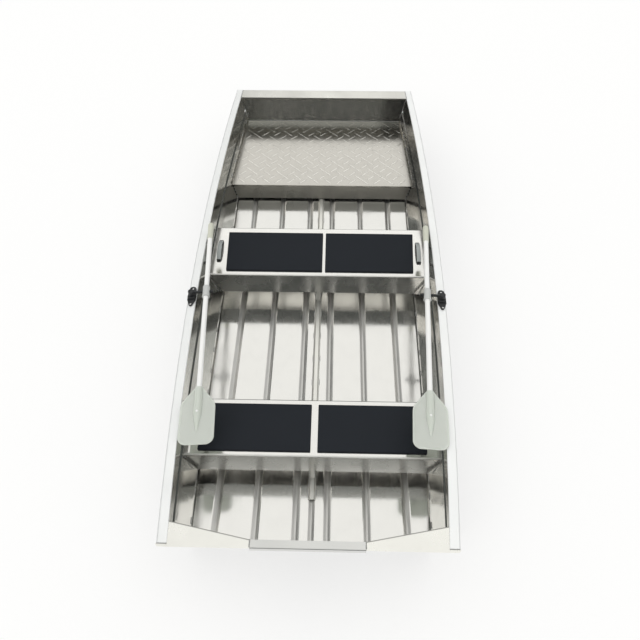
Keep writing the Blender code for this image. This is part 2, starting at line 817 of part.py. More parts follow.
def build_oarlocks():
    y = from_stern(OARLOCK_Y)
    top = gunwale_top(y)
    for hand, side, turned_in in OARS:
        x = side * (gunwale_outer(y) - GUNWALE_WIDTH / 2)
        socket = bpy.data.objects.new("oarlock_socket_" + hand, None)
        bpy.context.scene.collection.objects.link(socket)
        socket.location = (x, y, top)
        half = BASE_LENGTH / 2
        rise = gunwale_top(y + half) - gunwale_top(y - half)
        socket.rotation_euler = (math.atan2(rise, BASE_LENGTH), 0.0, 0.0)
        outline = oarlock_base_outline()
        rings = [[(px, py, pz) for px, py in outline] for pz in (GAP, GAP + BASE_PLATE)]
        base = loft("oarlock_base_" + hand, rings, "black plastic", socket)
        outline = rounded_rectangle(-BLOCK_HALF_WIDTH, BLOCK_HALF_WIDTH, -BLOCK_HALF_LENGTH,
                                    BLOCK_HALF_LENGTH, BLOCK_RADIUS)
        rings = [[(px, py, pz) for px, py in outline] for pz in (BASE_PLATE / 2, BLOCK_HEIGHT)]
        block = guide("oarlock_block_" + hand, loft_mesh("block", rings), socket)
        bore = guide("oarlock_bore_" + hand,
                     cylinder_mesh("bore", POST_RADIUS + PIN_CLEARANCE, BORE_FLOOR, BLOCK_HEIGHT * 2), socket)
        combine(base, block, "UNION")
        combine(base, bore, "DIFFERENCE")
        build_swivel(hand, side, math.radians(turned_in), (x, y, top))


def build_swivel(hand, side, turned_in, place):
    """The turning half of an oarlock, and the oar on its pin."""
    turn = bpy.data.objects.new("oarlock_turn_" + hand, None)
    bpy.context.scene.collection.objects.link(turn)
    turn.location = place
    turn.rotation_euler = (0.0, 0.0, -side * turned_in)
    low = BLOCK_HEIGHT + GAP
    swivel = add_object("oarlock_swivel_" + hand,
                        cylinder_mesh("post", POST_RADIUS, POST_FOOT, low + HEAD_HEIGHT / 2),
                        "black plastic", turn)
    smooth(swivel)
    near = PIN_REACH - COLLAR_RADIUS - PIN_CLEARANCE
    far = PIN_REACH + COLLAR_RADIUS + PIN_CLEARANCE
    head = cylinder_mesh("head", HEAD_RADIUS, low, low + HEAD_HEIGHT)
    combine(swivel, guide("oarlock_head_" + hand, head, turn), "UNION")
    along_pin = (
        # part, radius, from and to along the pin
        ("arm", ARM_RADIUS, 0.0, near),
        ("pin", PIN_RADIUS, near / 2, far + KNOB_LENGTH / 2),
        ("knob", KNOB_RADIUS, far, far + KNOB_LENGTH),
    )
    for part, radius, start, end in along_pin:
        reach = sorted((-side * start, -side * end))
        piece = guide("oarlock_{}_{}".format(part, hand), cylinder_mesh(part, radius, *reach, axis="X"), turn)
        piece.location = (0.0, 0.0, PIN_HEIGHT)
        combine(swivel, piece, "UNION")
    tilt = bpy.data.objects.new("oar_tilt_" + hand, None)
    bpy.context.scene.collection.objects.link(tilt)
    tilt.parent = turn
    tilt.location = (-side * PIN_REACH, 0.0, PIN_HEIGHT)
    tilt.rotation_euler = (OAR_DROP, 0.0, 0.0)
    build_oar(hand, tilt)


def blade_sections():
    """Along the blade: distance from its neck, half width, rib half width, rib half height."""
    full_half = BLADE_SHOULDER[-1][1]
    full = BLADE_LENGTH - BLADE_CORNER
    rib_end = BLADE_LENGTH - RIB_TIP_FROM_END
    web = BLADE_EDGE / 2 + GAP
    sections = []
    for s, half in BLADE_SHOULDER + ((SOCKET_DEPTH + 0.012, full_half), (rib_end, full_half)):
        share = max(s - SOCKET_DEPTH, 0.0) / (rib_end - SOCKET_DEPTH)
        sections.append((s, half, BLADE_NECK - (BLADE_NECK - RIB_TIP_HALF) * share,
                         BLADE_NECK - (BLADE_NECK - web) * share))
    for k in range(6):
        angle = math.radians(90 * k / 5)
        half = full_half - BLADE_CORNER + BLADE_CORNER * math.cos(angle)
        sections.append((full + BLADE_CORNER * math.sin(angle), half, RIB_TIP_HALF, web))
    return sorted(sections)


def blade_ring(half, rib_half, rib_height):
    e = BLADE_EDGE / 2
    rise = max(rib_height, e + GAP)
    crown = e + (rise - e) * math.sqrt(0.5)
    edge = min(rib_half, half - GAP)
    shoulder = edge * math.sqrt(0.5)
    right = [(half, -e), (half, e), (edge, e + GAP / 3), (shoulder, crown)]
    left = [(-x, z) for x, z in reversed(right[1:])]
    upper = right + [(0.0, rise)] + left
    lower = [(-half, -e), (-edge, -e - GAP / 3), (-shoulder, -crown), (0.0, -rise),
             (shoulder, -crown), (edge, -e - GAP / 3)]
    return upper + lower


def build_oar(hand, tilt):
    grip_bore = GRIP_END - GRIP_BORE
    shaft_end = BLADE_START + SOCKET_DEPTH - GAP * 3
    inner = SHAFT_RADIUS - SHAFT_WALL
    bore = SHAFT_RADIUS + GAP
    tube = [(SHAFT_RADIUS, grip_bore - GAP), (inner, grip_bore - GAP), (inner, -shaft_end),
            (SHAFT_RADIUS, -shaft_end)]
    shaft = turned("oar_shaft_" + hand, tube, "white tube", tilt)
    half = COLLAR_LENGTH / 2
    sleeve = [(bore, half), (COLLAR_RADIUS - COLLAR_EDGE, half), (COLLAR_RADIUS, half - COLLAR_EDGE),
              (COLLAR_RADIUS, -half + COLLAR_FLARE_LENGTH), (COLLAR_FLARE, -half + COLLAR_EDGE),
              (COLLAR_FLARE - COLLAR_EDGE, -half), (bore, -half)]
    collar = turned("oar_collar_" + hand, sleeve, "collar plastic", tilt)
    through = COLLAR_FLARE * 2
    drill = cylinder_mesh("hole", PIN_RADIUS + PIN_CLEARANCE, -through, through, axis="X")
    hole = guide("oar_pin_hole_" + hand, drill, tilt)
    combine(shaft, hole, "DIFFERENCE")
    combine(collar, hole, "DIFFERENCE")
    start = GRIP_END - GRIP_LENGTH
    grip = [(0.0, GRIP_END), (GRIP_RADIUS * 0.7, GRIP_END), (GRIP_RADIUS, GRIP_END - GRIP_ROUNDING),
            (GRIP_RADIUS, start + GRIP_ROUNDING), (GRIP_RADIUS * 0.9, start), (bore, start),
            (bore, grip_bore), (0.0, grip_bore)]
    turned("oar_grip_" + hand, grip, "grip plastic", tilt)
    rings = [[(x, -BLADE_START - s, z) for x, z in blade_ring(half_width, rib_half, rib_height)]
             for s, half_width, rib_half, rib_height in blade_sections()]
    blade = smooth(loft("oar_blade_" + hand, rings, "blade plastic", tilt), 30.0)
    socket = guide("oar_socket_" + hand,
                   cylinder_mesh("socket", bore, -BLADE_START - SOCKET_DEPTH, -BLADE_START + SOCKET_DEPTH,
                                 axis="Y"), tilt)
    combine(blade, socket, "DIFFERENCE")


def main():
    for old in list(bpy.data.objects):
        bpy.data.objects.remove(old)
    build_bottom()
    build_sides()
    build_ends()
    build_gunwales()
    build_caps()
    build_keelson()
    build_deck()
    build_benches()
    build_pads()
    build_handles()
    build_stern_fittings()
    build_bow_eye()
    build_oarlocks()


main()
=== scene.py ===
# The looks of a welded aluminium jon boat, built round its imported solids.
# Metres, +Z up, +Y towards the bow, +X to starboard; z = 0 is the ground that the pressed ribs stand on.

import json
import math

import bmesh
import bpy
import numpy as np
from bpy.props import FloatProperty, FloatVectorProperty, PointerProperty
from mathutils import Matrix, Vector


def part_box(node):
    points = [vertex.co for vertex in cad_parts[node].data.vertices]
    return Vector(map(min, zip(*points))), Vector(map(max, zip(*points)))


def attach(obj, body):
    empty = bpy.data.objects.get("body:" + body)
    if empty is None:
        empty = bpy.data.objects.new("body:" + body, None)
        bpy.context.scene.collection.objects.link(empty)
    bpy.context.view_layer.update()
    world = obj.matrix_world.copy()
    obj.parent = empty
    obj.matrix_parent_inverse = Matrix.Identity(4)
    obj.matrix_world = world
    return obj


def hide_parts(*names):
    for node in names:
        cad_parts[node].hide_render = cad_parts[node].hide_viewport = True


bl_info = {
    "name": "Jon boat looks",
    "version": (1, 0, 0),
    "blender": (4, 5, 0),
    "location": "View3D > Sidebar > Jon boat",
    "description": "Finishes, treadplate, welds, seat pads and oars of an aluminium jon boat",
    "category": "Object",
}

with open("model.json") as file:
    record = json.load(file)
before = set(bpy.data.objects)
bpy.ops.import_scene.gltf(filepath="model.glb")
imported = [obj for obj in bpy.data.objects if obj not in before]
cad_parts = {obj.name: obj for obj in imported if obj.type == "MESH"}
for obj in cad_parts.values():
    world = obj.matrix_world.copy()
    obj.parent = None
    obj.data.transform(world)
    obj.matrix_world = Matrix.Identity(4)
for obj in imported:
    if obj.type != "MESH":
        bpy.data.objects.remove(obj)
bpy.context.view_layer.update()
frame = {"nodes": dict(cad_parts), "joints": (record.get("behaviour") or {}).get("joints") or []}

# Hull lines, as in the solids: a value at the stern, amidships and at the bow
HULL_LENGTH = 3.484
HALF_BEAM = (0.648, 0.727, 0.667)
CHINE_HALF = (0.577, 0.605, 0.584)
SHEER = (0.370, 0.383, 0.399)
STERN = -HULL_LENGTH / 2
BOW = HULL_LENGTH / 2
BOW_HEAD = BOW + 0.024
BOW_RAKE = 0.056
BOW_CAP_DEPTH = 0.102
STERN_CUT = 0.014
CORNER_REACH = 0.113
CAP_DEPTH = 0.038
RIB_FIRST = 0.078
RIB_SPACING = 0.198
RIB_HALF = 0.0215
KEEL_HALF = 0.016
SHEET = 0.0025
FLOOR = 0.0145
RAKE_START = 0.350
RAKE_BLEND = 0.600
RAKE_SLOPE = 0.145
WALL_INSET = 0.026
TRANSOM_INSET = 0.012
TRANSOM_RAKE = 0.135
TRANSOM_SKIN = 0.0043
GUNWALE_WEB = 0.0033
GUNWALE_WIDTH = 0.048
DECK_TOP = FLOOR + 0.172
DECK_FLANGE = 0.030
DECK_AFT = 0.913
BENCH_TOP = FLOOR + 0.235
BENCH_LIP = FLOOR + 0.085
BENCH_CUT = 0.034
BENCHES = ((-1.240, -0.912), (-0.025, 0.396))
PLATE_TOP = 0.3845
CAP_HALF = 0.249
PAD_FLARE = 0.017

# Oars: how far each is turned in from the keel line, and distances from its pin
TURNED_IN = {"left": math.radians(4.3), "right": math.radians(3.3)}
OAR_DROP = math.radians(1.7)
GRIP_END = 0.540
BLADE_START = 0.628
BLADE_LENGTH = 0.313
BLADE_HALF = 0.086
BLADE_NECK = 0.0195
BLADE_CORNER = 0.042
SOCKET_DEPTH = 0.150
RIB_TIP = 0.258
RIVET_AT = 0.140

# Oarlocks: sizes on the gunwale, and along the pin from the turning axis
BASE_LENGTH = 0.140
BASE_HALF = 0.0235
BASE_LOBE = 0.0195
BASE_TIP = 0.010
BASE_THICK = 0.0080
SCREW_HEAD = (0.0056, 0.0034)
BLOCK_HALF_WIDTH = 0.021
BLOCK_HALF_LENGTH = 0.027
BLOCK_HEIGHT = 0.020
HEAD_RADIUS = 0.0165
PIN_HEIGHT = 0.037
PIN_REACH = 0.084
COLLAR_RADIUS = 0.0195

SIDES = ((-1, "left"), (1, "right"))
QUARTER_TURN = math.radians(90)


def hull_line(values, y):
    """A parabola through the values at the stern, amidships and at the bow."""
    stern, middle, bow = values
    u = y / BOW
    return middle + (bow - stern) / 2 * u + ((bow + stern) / 2 - middle) * u * u


def floor_top(y):
    run = max(y - RAKE_START, 0.0)
    blended = min(run, RAKE_BLEND)
    return FLOOR + RAKE_SLOPE * blended * blended / (2 * RAKE_BLEND) + RAKE_SLOPE * (run - blended)


def gunwale_top(y):
    return FLOOR + hull_line(SHEER, y)


def gunwale_inner(y):
    return hull_line(HALF_BEAM, y) - GUNWALE_WIDTH


def wall_half(y, z):
    """Half the width between the inner faces of the side panels."""
    low = floor_top(y) - SHEET
    high = gunwale_top(y) - GUNWALE_WEB
    foot = hull_line(CHINE_HALF, y)
    head = hull_line(HALF_BEAM, y) - WALL_INSET
    return foot + (head - foot) * (z - low) / (high - low)


def transom_inner(z):
    top = gunwale_top(STERN)
    return STERN + TRANSOM_INSET + TRANSOM_RAKE * (top - z) / top + TRANSOM_SKIN


def bow_inner(z):
    top = gunwale_top(BOW)
    return BOW - BOW_RAKE * (top - z) / top - SHEET * 1.01


# Node graphs


class Graph:
    """Adds and joins the nodes of a material, a world or a Geometry Nodes tree."""

    def __init__(self, tree):
        self.tree = tree

    def add(self, kind, **values):
        """A node, with its settings or its inputs by name."""
        node = self.tree.nodes.new(kind)
        for name, value in values.items():
            if hasattr(node, name):
                setattr(node, name, value)
            else:
                self.feed(node.inputs[name.replace("_", " ")], value)
        return node

    def feed(self, socket, value):
        """An input takes a node's first output, another socket or a plain value."""
        if isinstance(value, bpy.types.Node):
            value = value.outputs[0]
        if isinstance(value, bpy.types.NodeSocket):
            self.tree.links.new(value, socket)
        elif value is not None:
            socket.default_value = value

    def fill(self, node, *values):
        """The first output of a node whose inputs take the values in turn."""
        for socket, value in zip(node.inputs, values):
            self.feed(socket, value)
        return node.outputs[0]

    def calc(self, operation, *values):
        return self.fill(self.add("ShaderNodeMath", operation=operation), *values)

    def plus(self, first, second):
        return self.calc("ADD", first, second)

    def minus(self, first, second):
        return self.calc("SUBTRACT", first, second)

    def times(self, first, second):
        return self.calc("MULTIPLY", first, second)

    def vector(self, operation, *values):
        return self.fill(self.add("ShaderNodeVectorMath", operation=operation), *values)

    def axes(self, place):
        """The X, Y and Z of a place, by name."""
        return self.add("ShaderNodeSeparateXYZ", Vector=place).outputs

    def ramp(self, value, low, high, to_low=0.0, to_high=1.0, shape="LINEAR"):
        """The value moved from one range to another, and held at its ends."""
        node = self.add("ShaderNodeMapRange", interpolation_type=shape)
        return self.fill(node, value, low, high, to_low, to_high)

    def blend(self, share, first, second):
        node = self.add("ShaderNodeMix", data_type="RGBA")
        self.feed(node.inputs[0], share)
        self.feed(node.inputs[6], first)
        self.feed(node.inputs[7], second)
        return node.outputs[2]

    def noise(self, place, scale, detail=2.0, stretch=(1.0, 1.0, 1.0)):
        """Noise on object coordinates, drawn out along an axis by a small stretch."""
        mapping = self.add("ShaderNodeMapping", Vector=place, Scale=stretch)
        node = self.add("ShaderNodeTexNoise", Scale=scale, Detail=detail, Vector=mapping)
        return node.outputs["Fac"]


def colour(values):
    return (values[0], values[1], values[2], 1.0)


def new_finish(name):
    """A material with its graph, its Principled shader and its object coordinates."""
    made = bpy.data.materials.new(name)
    made.use_nodes = True
    graph = Graph(made.node_tree)
    shader = made.node_tree.nodes["Principled BSDF"]
    place = graph.add("ShaderNodeTexCoord").outputs["Object"]
    return made, graph, shader, place


def no_marks(graph, place):
    return 0.0


# No painted shade: the whole sheet keeps its colour.
def no_painted_shade(graph, place):
    return 1.0


def plain_normal(graph, place):
    return None


def turned_normal(graph, x=0.0, y=0.0, z=0.0):
    """The surface's own normal, turned a little by adding to it."""
    own = graph.add("ShaderNodeNewGeometry").outputs["Normal"]
    change = graph.add("ShaderNodeCombineXYZ", X=x, Y=y, Z=z)
    return graph.vector("NORMALIZE", graph.vector("ADD", own, change))


def from_rib(graph, place):
    """How far a place is from the middle of the nearest rib, and from the keel line."""
    x = graph.calc("ABSOLUTE", graph.axes(place)["X"])
    shifted = graph.plus(x, RIB_SPACING / 2 - RIB_FIRST)
    away = graph.minus(graph.calc("MODULO", shifted, RIB_SPACING), RIB_SPACING / 2)
    return graph.calc("ABSOLUTE", away), x


def rib_dullness_and_shade(graph, place):
    """One on the pressed ribs and in the keel groove of the bottom, where the sheet is stretched dull and
    painted shade darkens it.
    """
    away, x = from_rib(graph, place)
    rib = graph.ramp(away, RIB_HALF - 0.006, RIB_HALF - 0.002, 1.0, 0.0)
    keel = graph.ramp(x, KEEL_HALF - 0.002, KEEL_HALF, 1.0, 0.0)
    return graph.calc("MAXIMUM", rib, keel)


# How steep the flanks of the ribs look, as a share: in the aft wells, in the fore well, at their feet
FLANK_AFT = 0.52
FLANK_FORE = 0.72
FLANK_FOOT = 0.39
FRONT_BENCH_Y = (0.30, 0.45)
FLANK_SPAN = (0.012, 0.0165)


def soft_ribs(graph, place):
    """The feet of the ribs run out softly into the flat of the bottom."""
    away, _ = from_rib(graph, place)
    steep = graph.ramp(graph.axes(place)["Y"], *FRONT_BENCH_Y, FLANK_AFT, FLANK_FORE)
    across = graph.ramp(away, *FLANK_SPAN, steep, FLANK_FOOT)
    share = graph.add("ShaderNodeCombineXYZ", X=across, Y=1.0, Z=1.0)
    own = graph.add("ShaderNodeNewGeometry").outputs["Normal"]
    return graph.vector("NORMALIZE", graph.vector("MULTIPLY", own, share))


# The risers' share of the dull marks, their painted shade as a share of the colour, and how they bow, rear
# and front
RISER_DULLNESS = 0.4
RISER_PAINTED_SHADE = 0.66
RISER_BOW = (-0.45, -0.12)


def below_bench_top(graph, place, low, high):
    """A value that changes from low to high where a riser turns over into the top of its bench."""
    return graph.ramp(graph.axes(place)["Z"], BENCH_TOP - 0.006, BENCH_TOP - 0.004, low, high)


def bench_marks(graph, place):
    """One on the rubbed fold along each bench's aft edge, less on the dull riser below it."""
    high = below_bench_top(graph, place, 0.0, 1.0)
    y = graph.axes(place)["Y"]
    folds = 0.0
    for aft, _ in BENCHES:
        away = graph.calc("ABSOLUTE", graph.minus(y, aft))
        folds = graph.plus(folds, graph.ramp(away, 0.008, 0.011, 1.0, 0.0))
    riser = graph.times(graph.minus(1.0, high), RISER_DULLNESS)
    return graph.calc("MAXIMUM", graph.times(high, folds), riser)


def bench_painted_shade(graph, place):
    """Painted shade: the risers and what stands below the benches are darker than their tops."""
    return below_bench_top(graph, place, RISER_PAINTED_SHADE, 1.0)


def bench_bow(graph, place):
    """The risers of the benches bow forward towards their lower edges."""
    spot = graph.axes(place)
    below = graph.calc("MAXIMUM", graph.minus(BENCH_TOP, spot["Z"]), 0.0)
    steepness = graph.ramp(spot["Y"], BENCHES[0][0], BENCHES[1][0], *RISER_BOW)
    return turned_normal(graph, z=graph.times(below, steepness))


DECK_RISE = 0.10


def deck_relief(graph, place):
    """The deck rises slowly towards the bow, and its turned-up edges carry the worn pattern."""
    edge = graph.ramp(graph.axes(place)["Z"], DECK_TOP + 0.003, DECK_TOP + 0.006)
    worn = graph.times(edge, graph.noise(place, 70.0, 1.0))
    return graph.add("ShaderNodeBump", Strength=1.0, Distance=0.0035, Height=worn,
                     Normal=turned_normal(graph, y=-DECK_RISE))


# Where the painted shade and the stains on the starboard side panel begin and are full
BOW_SHADE_X = (0.40, 0.50)
BOW_SHADE_Y = (0.55, 0.80)


def bow_shade_and_stains(graph, place):
    """One on the starboard side panel next to the bow deck: painted shade darkens it, and real stains spot
    it.
    """
    spot = graph.axes(place)
    starboard = graph.ramp(spot["X"], *BOW_SHADE_X)
    ahead = graph.ramp(spot["Y"], *BOW_SHADE_Y)
    spots = graph.ramp(graph.noise(place, 40.0, 3.0), 0.35, 0.65, 0.75, 1.0)
    return graph.times(graph.times(starboard, ahead), spots)


def deck_riser(graph, place):
    """One on the deck's plain aft face, which is duller than the tread."""
    return graph.ramp(graph.axes(place)["Z"], DECK_TOP - 0.008, DECK_TOP - 0.004, 1.0, 0.0)


def plate_edge_shadow(graph, place):
    """One in a thin painted shadow line along the slanted inner edge of a stern corner plate."""
    spot = graph.axes(place)
    far_x = gunwale_inner(STERN + CORNER_REACH)
    slope = (CORNER_REACH - CAP_DEPTH) / (far_x - CAP_HALF)
    along = graph.times(graph.minus(graph.calc("ABSOLUTE", spot["X"]), CAP_HALF), slope)
    inside = graph.minus(graph.plus(along, STERN + CAP_DEPTH), spot["Y"])
    return graph.ramp(inside, 0.002, 0.006, 1.0, 0.0)


# Noise in bare metal, in patches to the metre
CLOUDS = 5.0
SMUDGES = 14.0
ROLLING_LINES = 260.0
SLOW_WAVES = 3.5
SMUDGE_SHADE = 0.80


def bare_metal(name, tint, roughness, spread=0.05, grain=(1.0, 0.03, 1.0), wave=0.0004, dull=0.12,
               marks=no_marks, mark_shade=0.9, mark_roughness=0.0, painted_shade=no_painted_shade,
               relief=plain_normal, metallic=0.97):
    """Mill-finish sheet: cloudy gloss, faint rolling lines and a slow unevenness of the surface.

    The marks are places that are darker and duller than the rest of the sheet, some of them
    painted shade, and painted_shade gives a share of its colour that paints shade.
    The relief gives the normal where the sheet bends slowly.
    """
    made, graph, shader, place = new_finish(name)
    marked = marks(graph, place)
    lines = graph.noise(place, ROLLING_LINES, 2.0, grain)
    smudged = graph.ramp(graph.noise(place, SMUDGES, 4.0), 0.45, 0.75, 0.0, dull)
    dark = tuple(v * SMUDGE_SHADE for v in tint)
    sheet = graph.blend(smudged, colour(tint), colour(dark))
    shade = graph.times(graph.ramp(marked, 0.0, 1.0, 1.0, mark_shade), painted_shade(graph, place))
    shaded = graph.add("ShaderNodeVectorMath", operation="SCALE", Vector=sheet, Scale=shade)
    graph.feed(shader.inputs["Base Color"], shaded)
    rough = graph.ramp(graph.noise(place, CLOUDS, 3.0), 0.3, 0.7, roughness - spread, roughness + spread)
    rough = graph.plus(rough, graph.ramp(lines, 0.35, 0.65, -0.02, 0.03))
    rough = graph.plus(rough, graph.ramp(marked, 0.0, 1.0, 0.0, mark_roughness))
    graph.feed(shader.inputs["Roughness"], rough)
    shader.inputs["Metallic"].default_value = metallic
    waves = graph.noise(place, SLOW_WAVES, 1.0)
    slow = graph.add("ShaderNodeBump", Strength=0.6, Distance=wave, Height=waves, Normal=relief(graph, place))
    fine = graph.add("ShaderNodeBump", Strength=0.10, Distance=0.0002, Height=lines, Normal=slow)
    graph.feed(shader.inputs["Normal"], fine)
    return made


def moulded(name, tint, roughness, grain=900.0, relief=0.00015, vary=0.12, glow_through=0.0):
    """Plastic or foam: an even colour, faintly clouded, with a fine grain.

    Thin plastic lets a share of the light through.
    """
    made, graph, shader, place = new_finish(name)
    dark = tuple(v * (1.0 - vary) for v in tint)
    clouded = graph.blend(graph.noise(place, 9.0, 3.0), colour(tint), colour(dark))
    graph.feed(shader.inputs["Base Color"], clouded)
    shader.inputs["Roughness"].default_value = roughness
    bump = graph.add("ShaderNodeBump", Strength=0.5, Distance=relief, Height=graph.noise(place, grain, 2.0))
    graph.feed(shader.inputs["Normal"], bump)
    if glow_through:
        shader.inputs["Subsurface Weight"].default_value = glow_through
        shader.inputs["Subsurface Radius"].default_value = (1.0, 1.0, 1.0)
        shader.inputs["Subsurface Scale"].default_value = 0.014
    return made


def weld_metal():
    """Weld beads: a brighter, greyer satin than the sheet, with a little soot."""
    made, graph, shader, place = new_finish("weld_metal")
    soot = graph.ramp(graph.noise(place, 60.0, 3.0), 0.45, 0.7, 0.0, 0.5)
    sooty = graph.blend(soot, colour((0.72, 0.72, 0.71)), colour((0.42, 0.42, 0.41)))
    graph.feed(shader.inputs["Base Color"], sooty)
    shader.inputs["Metallic"].default_value = 1.0
    shader.inputs["Roughness"].default_value = 0.38
    return made


FINISHES = {}


def prepare_finishes(scene):
    """Every material of the boat, by the name that the pieces use."""
    metal = scene.boat_metal
    oars = scene.boat_oars
    seats = scene.boat_seats
    FINISHES.update({
        # The ribs' mark_shade is painted shade, standing in for the dark reflections of their flanks.
        "floor": bare_metal("floor_sheet", metal.sheet_tint, metal.sheet_roughness, marks=rib_dullness_and_shade,
                            mark_shade=0.76, mark_roughness=0.27, relief=soft_ribs),
        "strip": bare_metal("strip_sheet", metal.corner_tint, 0.44),
        # The starboard bow panel's mark_shade is mostly painted shade, with real stains in spots.
        "walls": bare_metal("side_sheet", metal.sheet_tint, metal.sheet_roughness, wave=0.0006,
                            marks=bow_shade_and_stains, mark_shade=0.28, mark_roughness=0.08),
        # The benches' painted shade darkens the risers and the parts below the bench tops.
        "benches": bare_metal("bench_sheet", metal.sheet_tint, metal.sheet_roughness,
                              grain=(0.04, 0.04, 0.04), marks=bench_marks, mark_shade=0.97,
                              mark_roughness=0.30, painted_shade=bench_painted_shade, relief=bench_bow),
        "extrusion": bare_metal("gunwale_extrusion", metal.extrusion_tint, 0.38, wave=0.0001, dull=0.04,
                                metallic=0.50),
        "stern cap": bare_metal("transom_cap_extrusion", metal.cap_tint, 0.34, wave=0.0001, dull=0.10),
        "bow cap": bare_metal("bow_cap_sheet", metal.bow_tint, 0.32, wave=0.0002),
        # The corner plates' mark_shade paints a thin shadow line along their slanted edge.
        "corner": bare_metal("corner_sheet", metal.corner_tint, 0.30, grain=(0.2, 0.2, 0.2), wave=0.0001,
                             marks=plate_edge_shadow, mark_shade=0.30),
        "tread": bare_metal("treadplate", metal.tread_tint, 0.20, 0.03, wave=0.0003, dull=0.25,
                            marks=deck_riser, mark_shade=0.95, mark_roughness=0.10, relief=deck_relief),
        # The bars' lighter tint is a painted highlight on the same metal as the deck.
        "tread bars": bare_metal("tread_bars", metal.bar_highlight_tint, 0.12, 0.02, wave=0.0, dull=0.10,
                                 relief=deck_relief),
        "weld": weld_metal(),
        "steel": bare_metal("stainless_steel", (0.86, 0.86, 0.85), 0.14, 0.03, wave=0.0),
        "foam": moulded("pad_foam", seats.pad_colour, 0.78, 700.0, 0.0004),
        "black": moulded("black_plastic", (0.022, 0.023, 0.025), 0.42),
        "strap": moulded("strap_plastic", (0.44, 0.47, 0.465), 0.45),
        "blade": moulded("blade_plastic", oars.blade_colour, 0.40, 500.0, vary=0.05, glow_through=0.9),
        "grip": moulded("grip_plastic", oars.grip_colour, 0.55),
        "collar": moulded("collar_plastic", (0.60, 0.61, 0.60), 0.45),
        "tube": moulded("white_tube", (0.93, 0.93, 0.92), 0.16, 300.0, 0.00003, vary=0.02),
    })


NODE_FINISHES = {
    "floor": ("bottom_sheet",),
    "strip": ("keelson",),
    "walls": ("side_panel_left", "side_panel_right", "transom_panel", "bow_panel"),
    "benches": ("front_bench", "rear_bench", "front_bench_post", "rear_bench_post", "front_gusset_left",
                "front_gusset_right", "rear_gusset_left", "rear_gusset_right"),
    "extrusion": ("gunwale_left", "gunwale_right", "bow_eye"),
    "stern cap": ("transom_cap",),
    "bow cap": ("bow_cap",),
    "corner": ("corner_plate_left", "corner_plate_right"),
    "tread": ("bow_deck",),
    "black": ("motor_pad_inner", "motor_pad_outer", "drain_plug"),
}


# Meshes


def keep(name, mesh, finish, body, slot, *nodes):
    """A finished piece: in the scene, with its material, its body and the nodes that it stands for."""
    made = bpy.data.objects.new(name, mesh)
    bpy.context.scene.collection.objects.link(made)
    if finish:
        mesh.materials.clear()
        mesh.materials.append(FINISHES[finish])
    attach(made, body)
    if nodes:
        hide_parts(*nodes)
    return made


def mesh_of(bm, name, angle=35.0):
    """A smooth-shaded mesh with its faces outwards and sharp past an angle."""
    bmesh.ops.remove_doubles(bm, verts=bm.verts, dist=0.000001)
    bmesh.ops.recalc_face_normals(bm, faces=bm.faces)
    mesh = bpy.data.meshes.new(name)
    bm.to_mesh(mesh)
    bm.free()
    mesh.shade_smooth()
    mesh.set_sharp_from_angle(angle=math.radians(angle))
    return mesh


def add_rings(bm, rings, close=True):
    """Skin through closed rings of points; flat faces shut its ends."""
    made = [[bm.verts.new(point) for point in ring] for ring in rings]
    count = len(made[0])
    for ring, following in zip(made, made[1:]):
        for k in range(count):
            n = (k + 1) % count
            bm.faces.new((ring[k], ring[n], following[n], following[k]))
    if close:
        bm.faces.new(made[0])
        bm.faces.new(made[-1])


def add_turned(bm, profile, matrix, segments=48):
    """A round shape about the local Y axis, from radius and y of its outline."""
    rings = []
    for radius, y in profile:
        ring = []
        for k in range(segments):
            angle = 2 * math.pi * k / segments
            ring.append(matrix @ Vector((radius * math.cos(angle), y, radius * math.sin(angle))))
        rings.append(ring)
    add_rings(bm, rings)


def add_dome(bm, radius, height, matrix):
    """A shallow screw or rivet head, standing on local z = 0."""
    profile = [(radius, -0.0005), (radius, height * 0.25), (radius * 0.86, height * 0.68),
               (radius * 0.55, height * 0.93), (radius * 0.12, height)]
    add_turned(bm, profile, matrix @ Matrix.Rotation(QUARTER_TURN, 4, "X"), 20)


def grown(name, tree, values, base):
    """The plain mesh that a Geometry Nodes tree makes from a base mesh."""
    carrier = bpy.data.objects.new(name, base)
    bpy.context.scene.collection.objects.link(carrier)
    step = carrier.modifiers.new("shape", "NODES")
    step.node_group = tree
    for item in tree.interface.items_tree:
        if item.in_out == "INPUT" and item.name in values:
            step[item.identifier] = values[item.name]
    depsgraph = bpy.context.evaluated_depsgraph_get()
    mesh = bpy.data.meshes.new_from_object(carrier.evaluated_get(depsgraph))
    bpy.data.objects.remove(carrier)
    if not mesh.polygons:
        raise RuntimeError(name + ": the node tree made no faces")
    return mesh


def new_tree(name, sizes):
    """A Geometry Nodes tree with a named input for each size."""
    tree = bpy.data.node_groups.new(name, "GeometryNodeTree")
    tree.interface.new_socket(name="Geometry", in_out="INPUT", socket_type="NodeSocketGeometry")
    for label in sizes:
        tree.interface.new_socket(name=label, in_out="INPUT", socket_type="NodeSocketFloat")
    tree.interface.new_socket(name="Geometry", in_out="OUTPUT", socket_type="NodeSocketGeometry")
    graph = Graph(tree)
    return tree, graph, graph.add("NodeGroupInput").outputs


def end_tree(graph, instances, material):
    """Realize Instances, Set Shade Smooth and Set Material close every tree."""
    real = graph.fill(graph.add("GeometryNodeRealizeInstances"), instances)
    soft = graph.fill(graph.add("GeometryNodeSetShadeSmooth"), real)
    dressed = graph.fill(graph.add("GeometryNodeSetMaterial", Material=material), soft)
    leave = graph.add("NodeGroupOutput")
    graph.feed(leave.inputs[0], dressed)


# Treadplate

TREAD_CELLS = 24
SHORTEST_BAR = 0.3
DECK_MARGIN = 0.004
SLANT = math.sqrt(0.5)


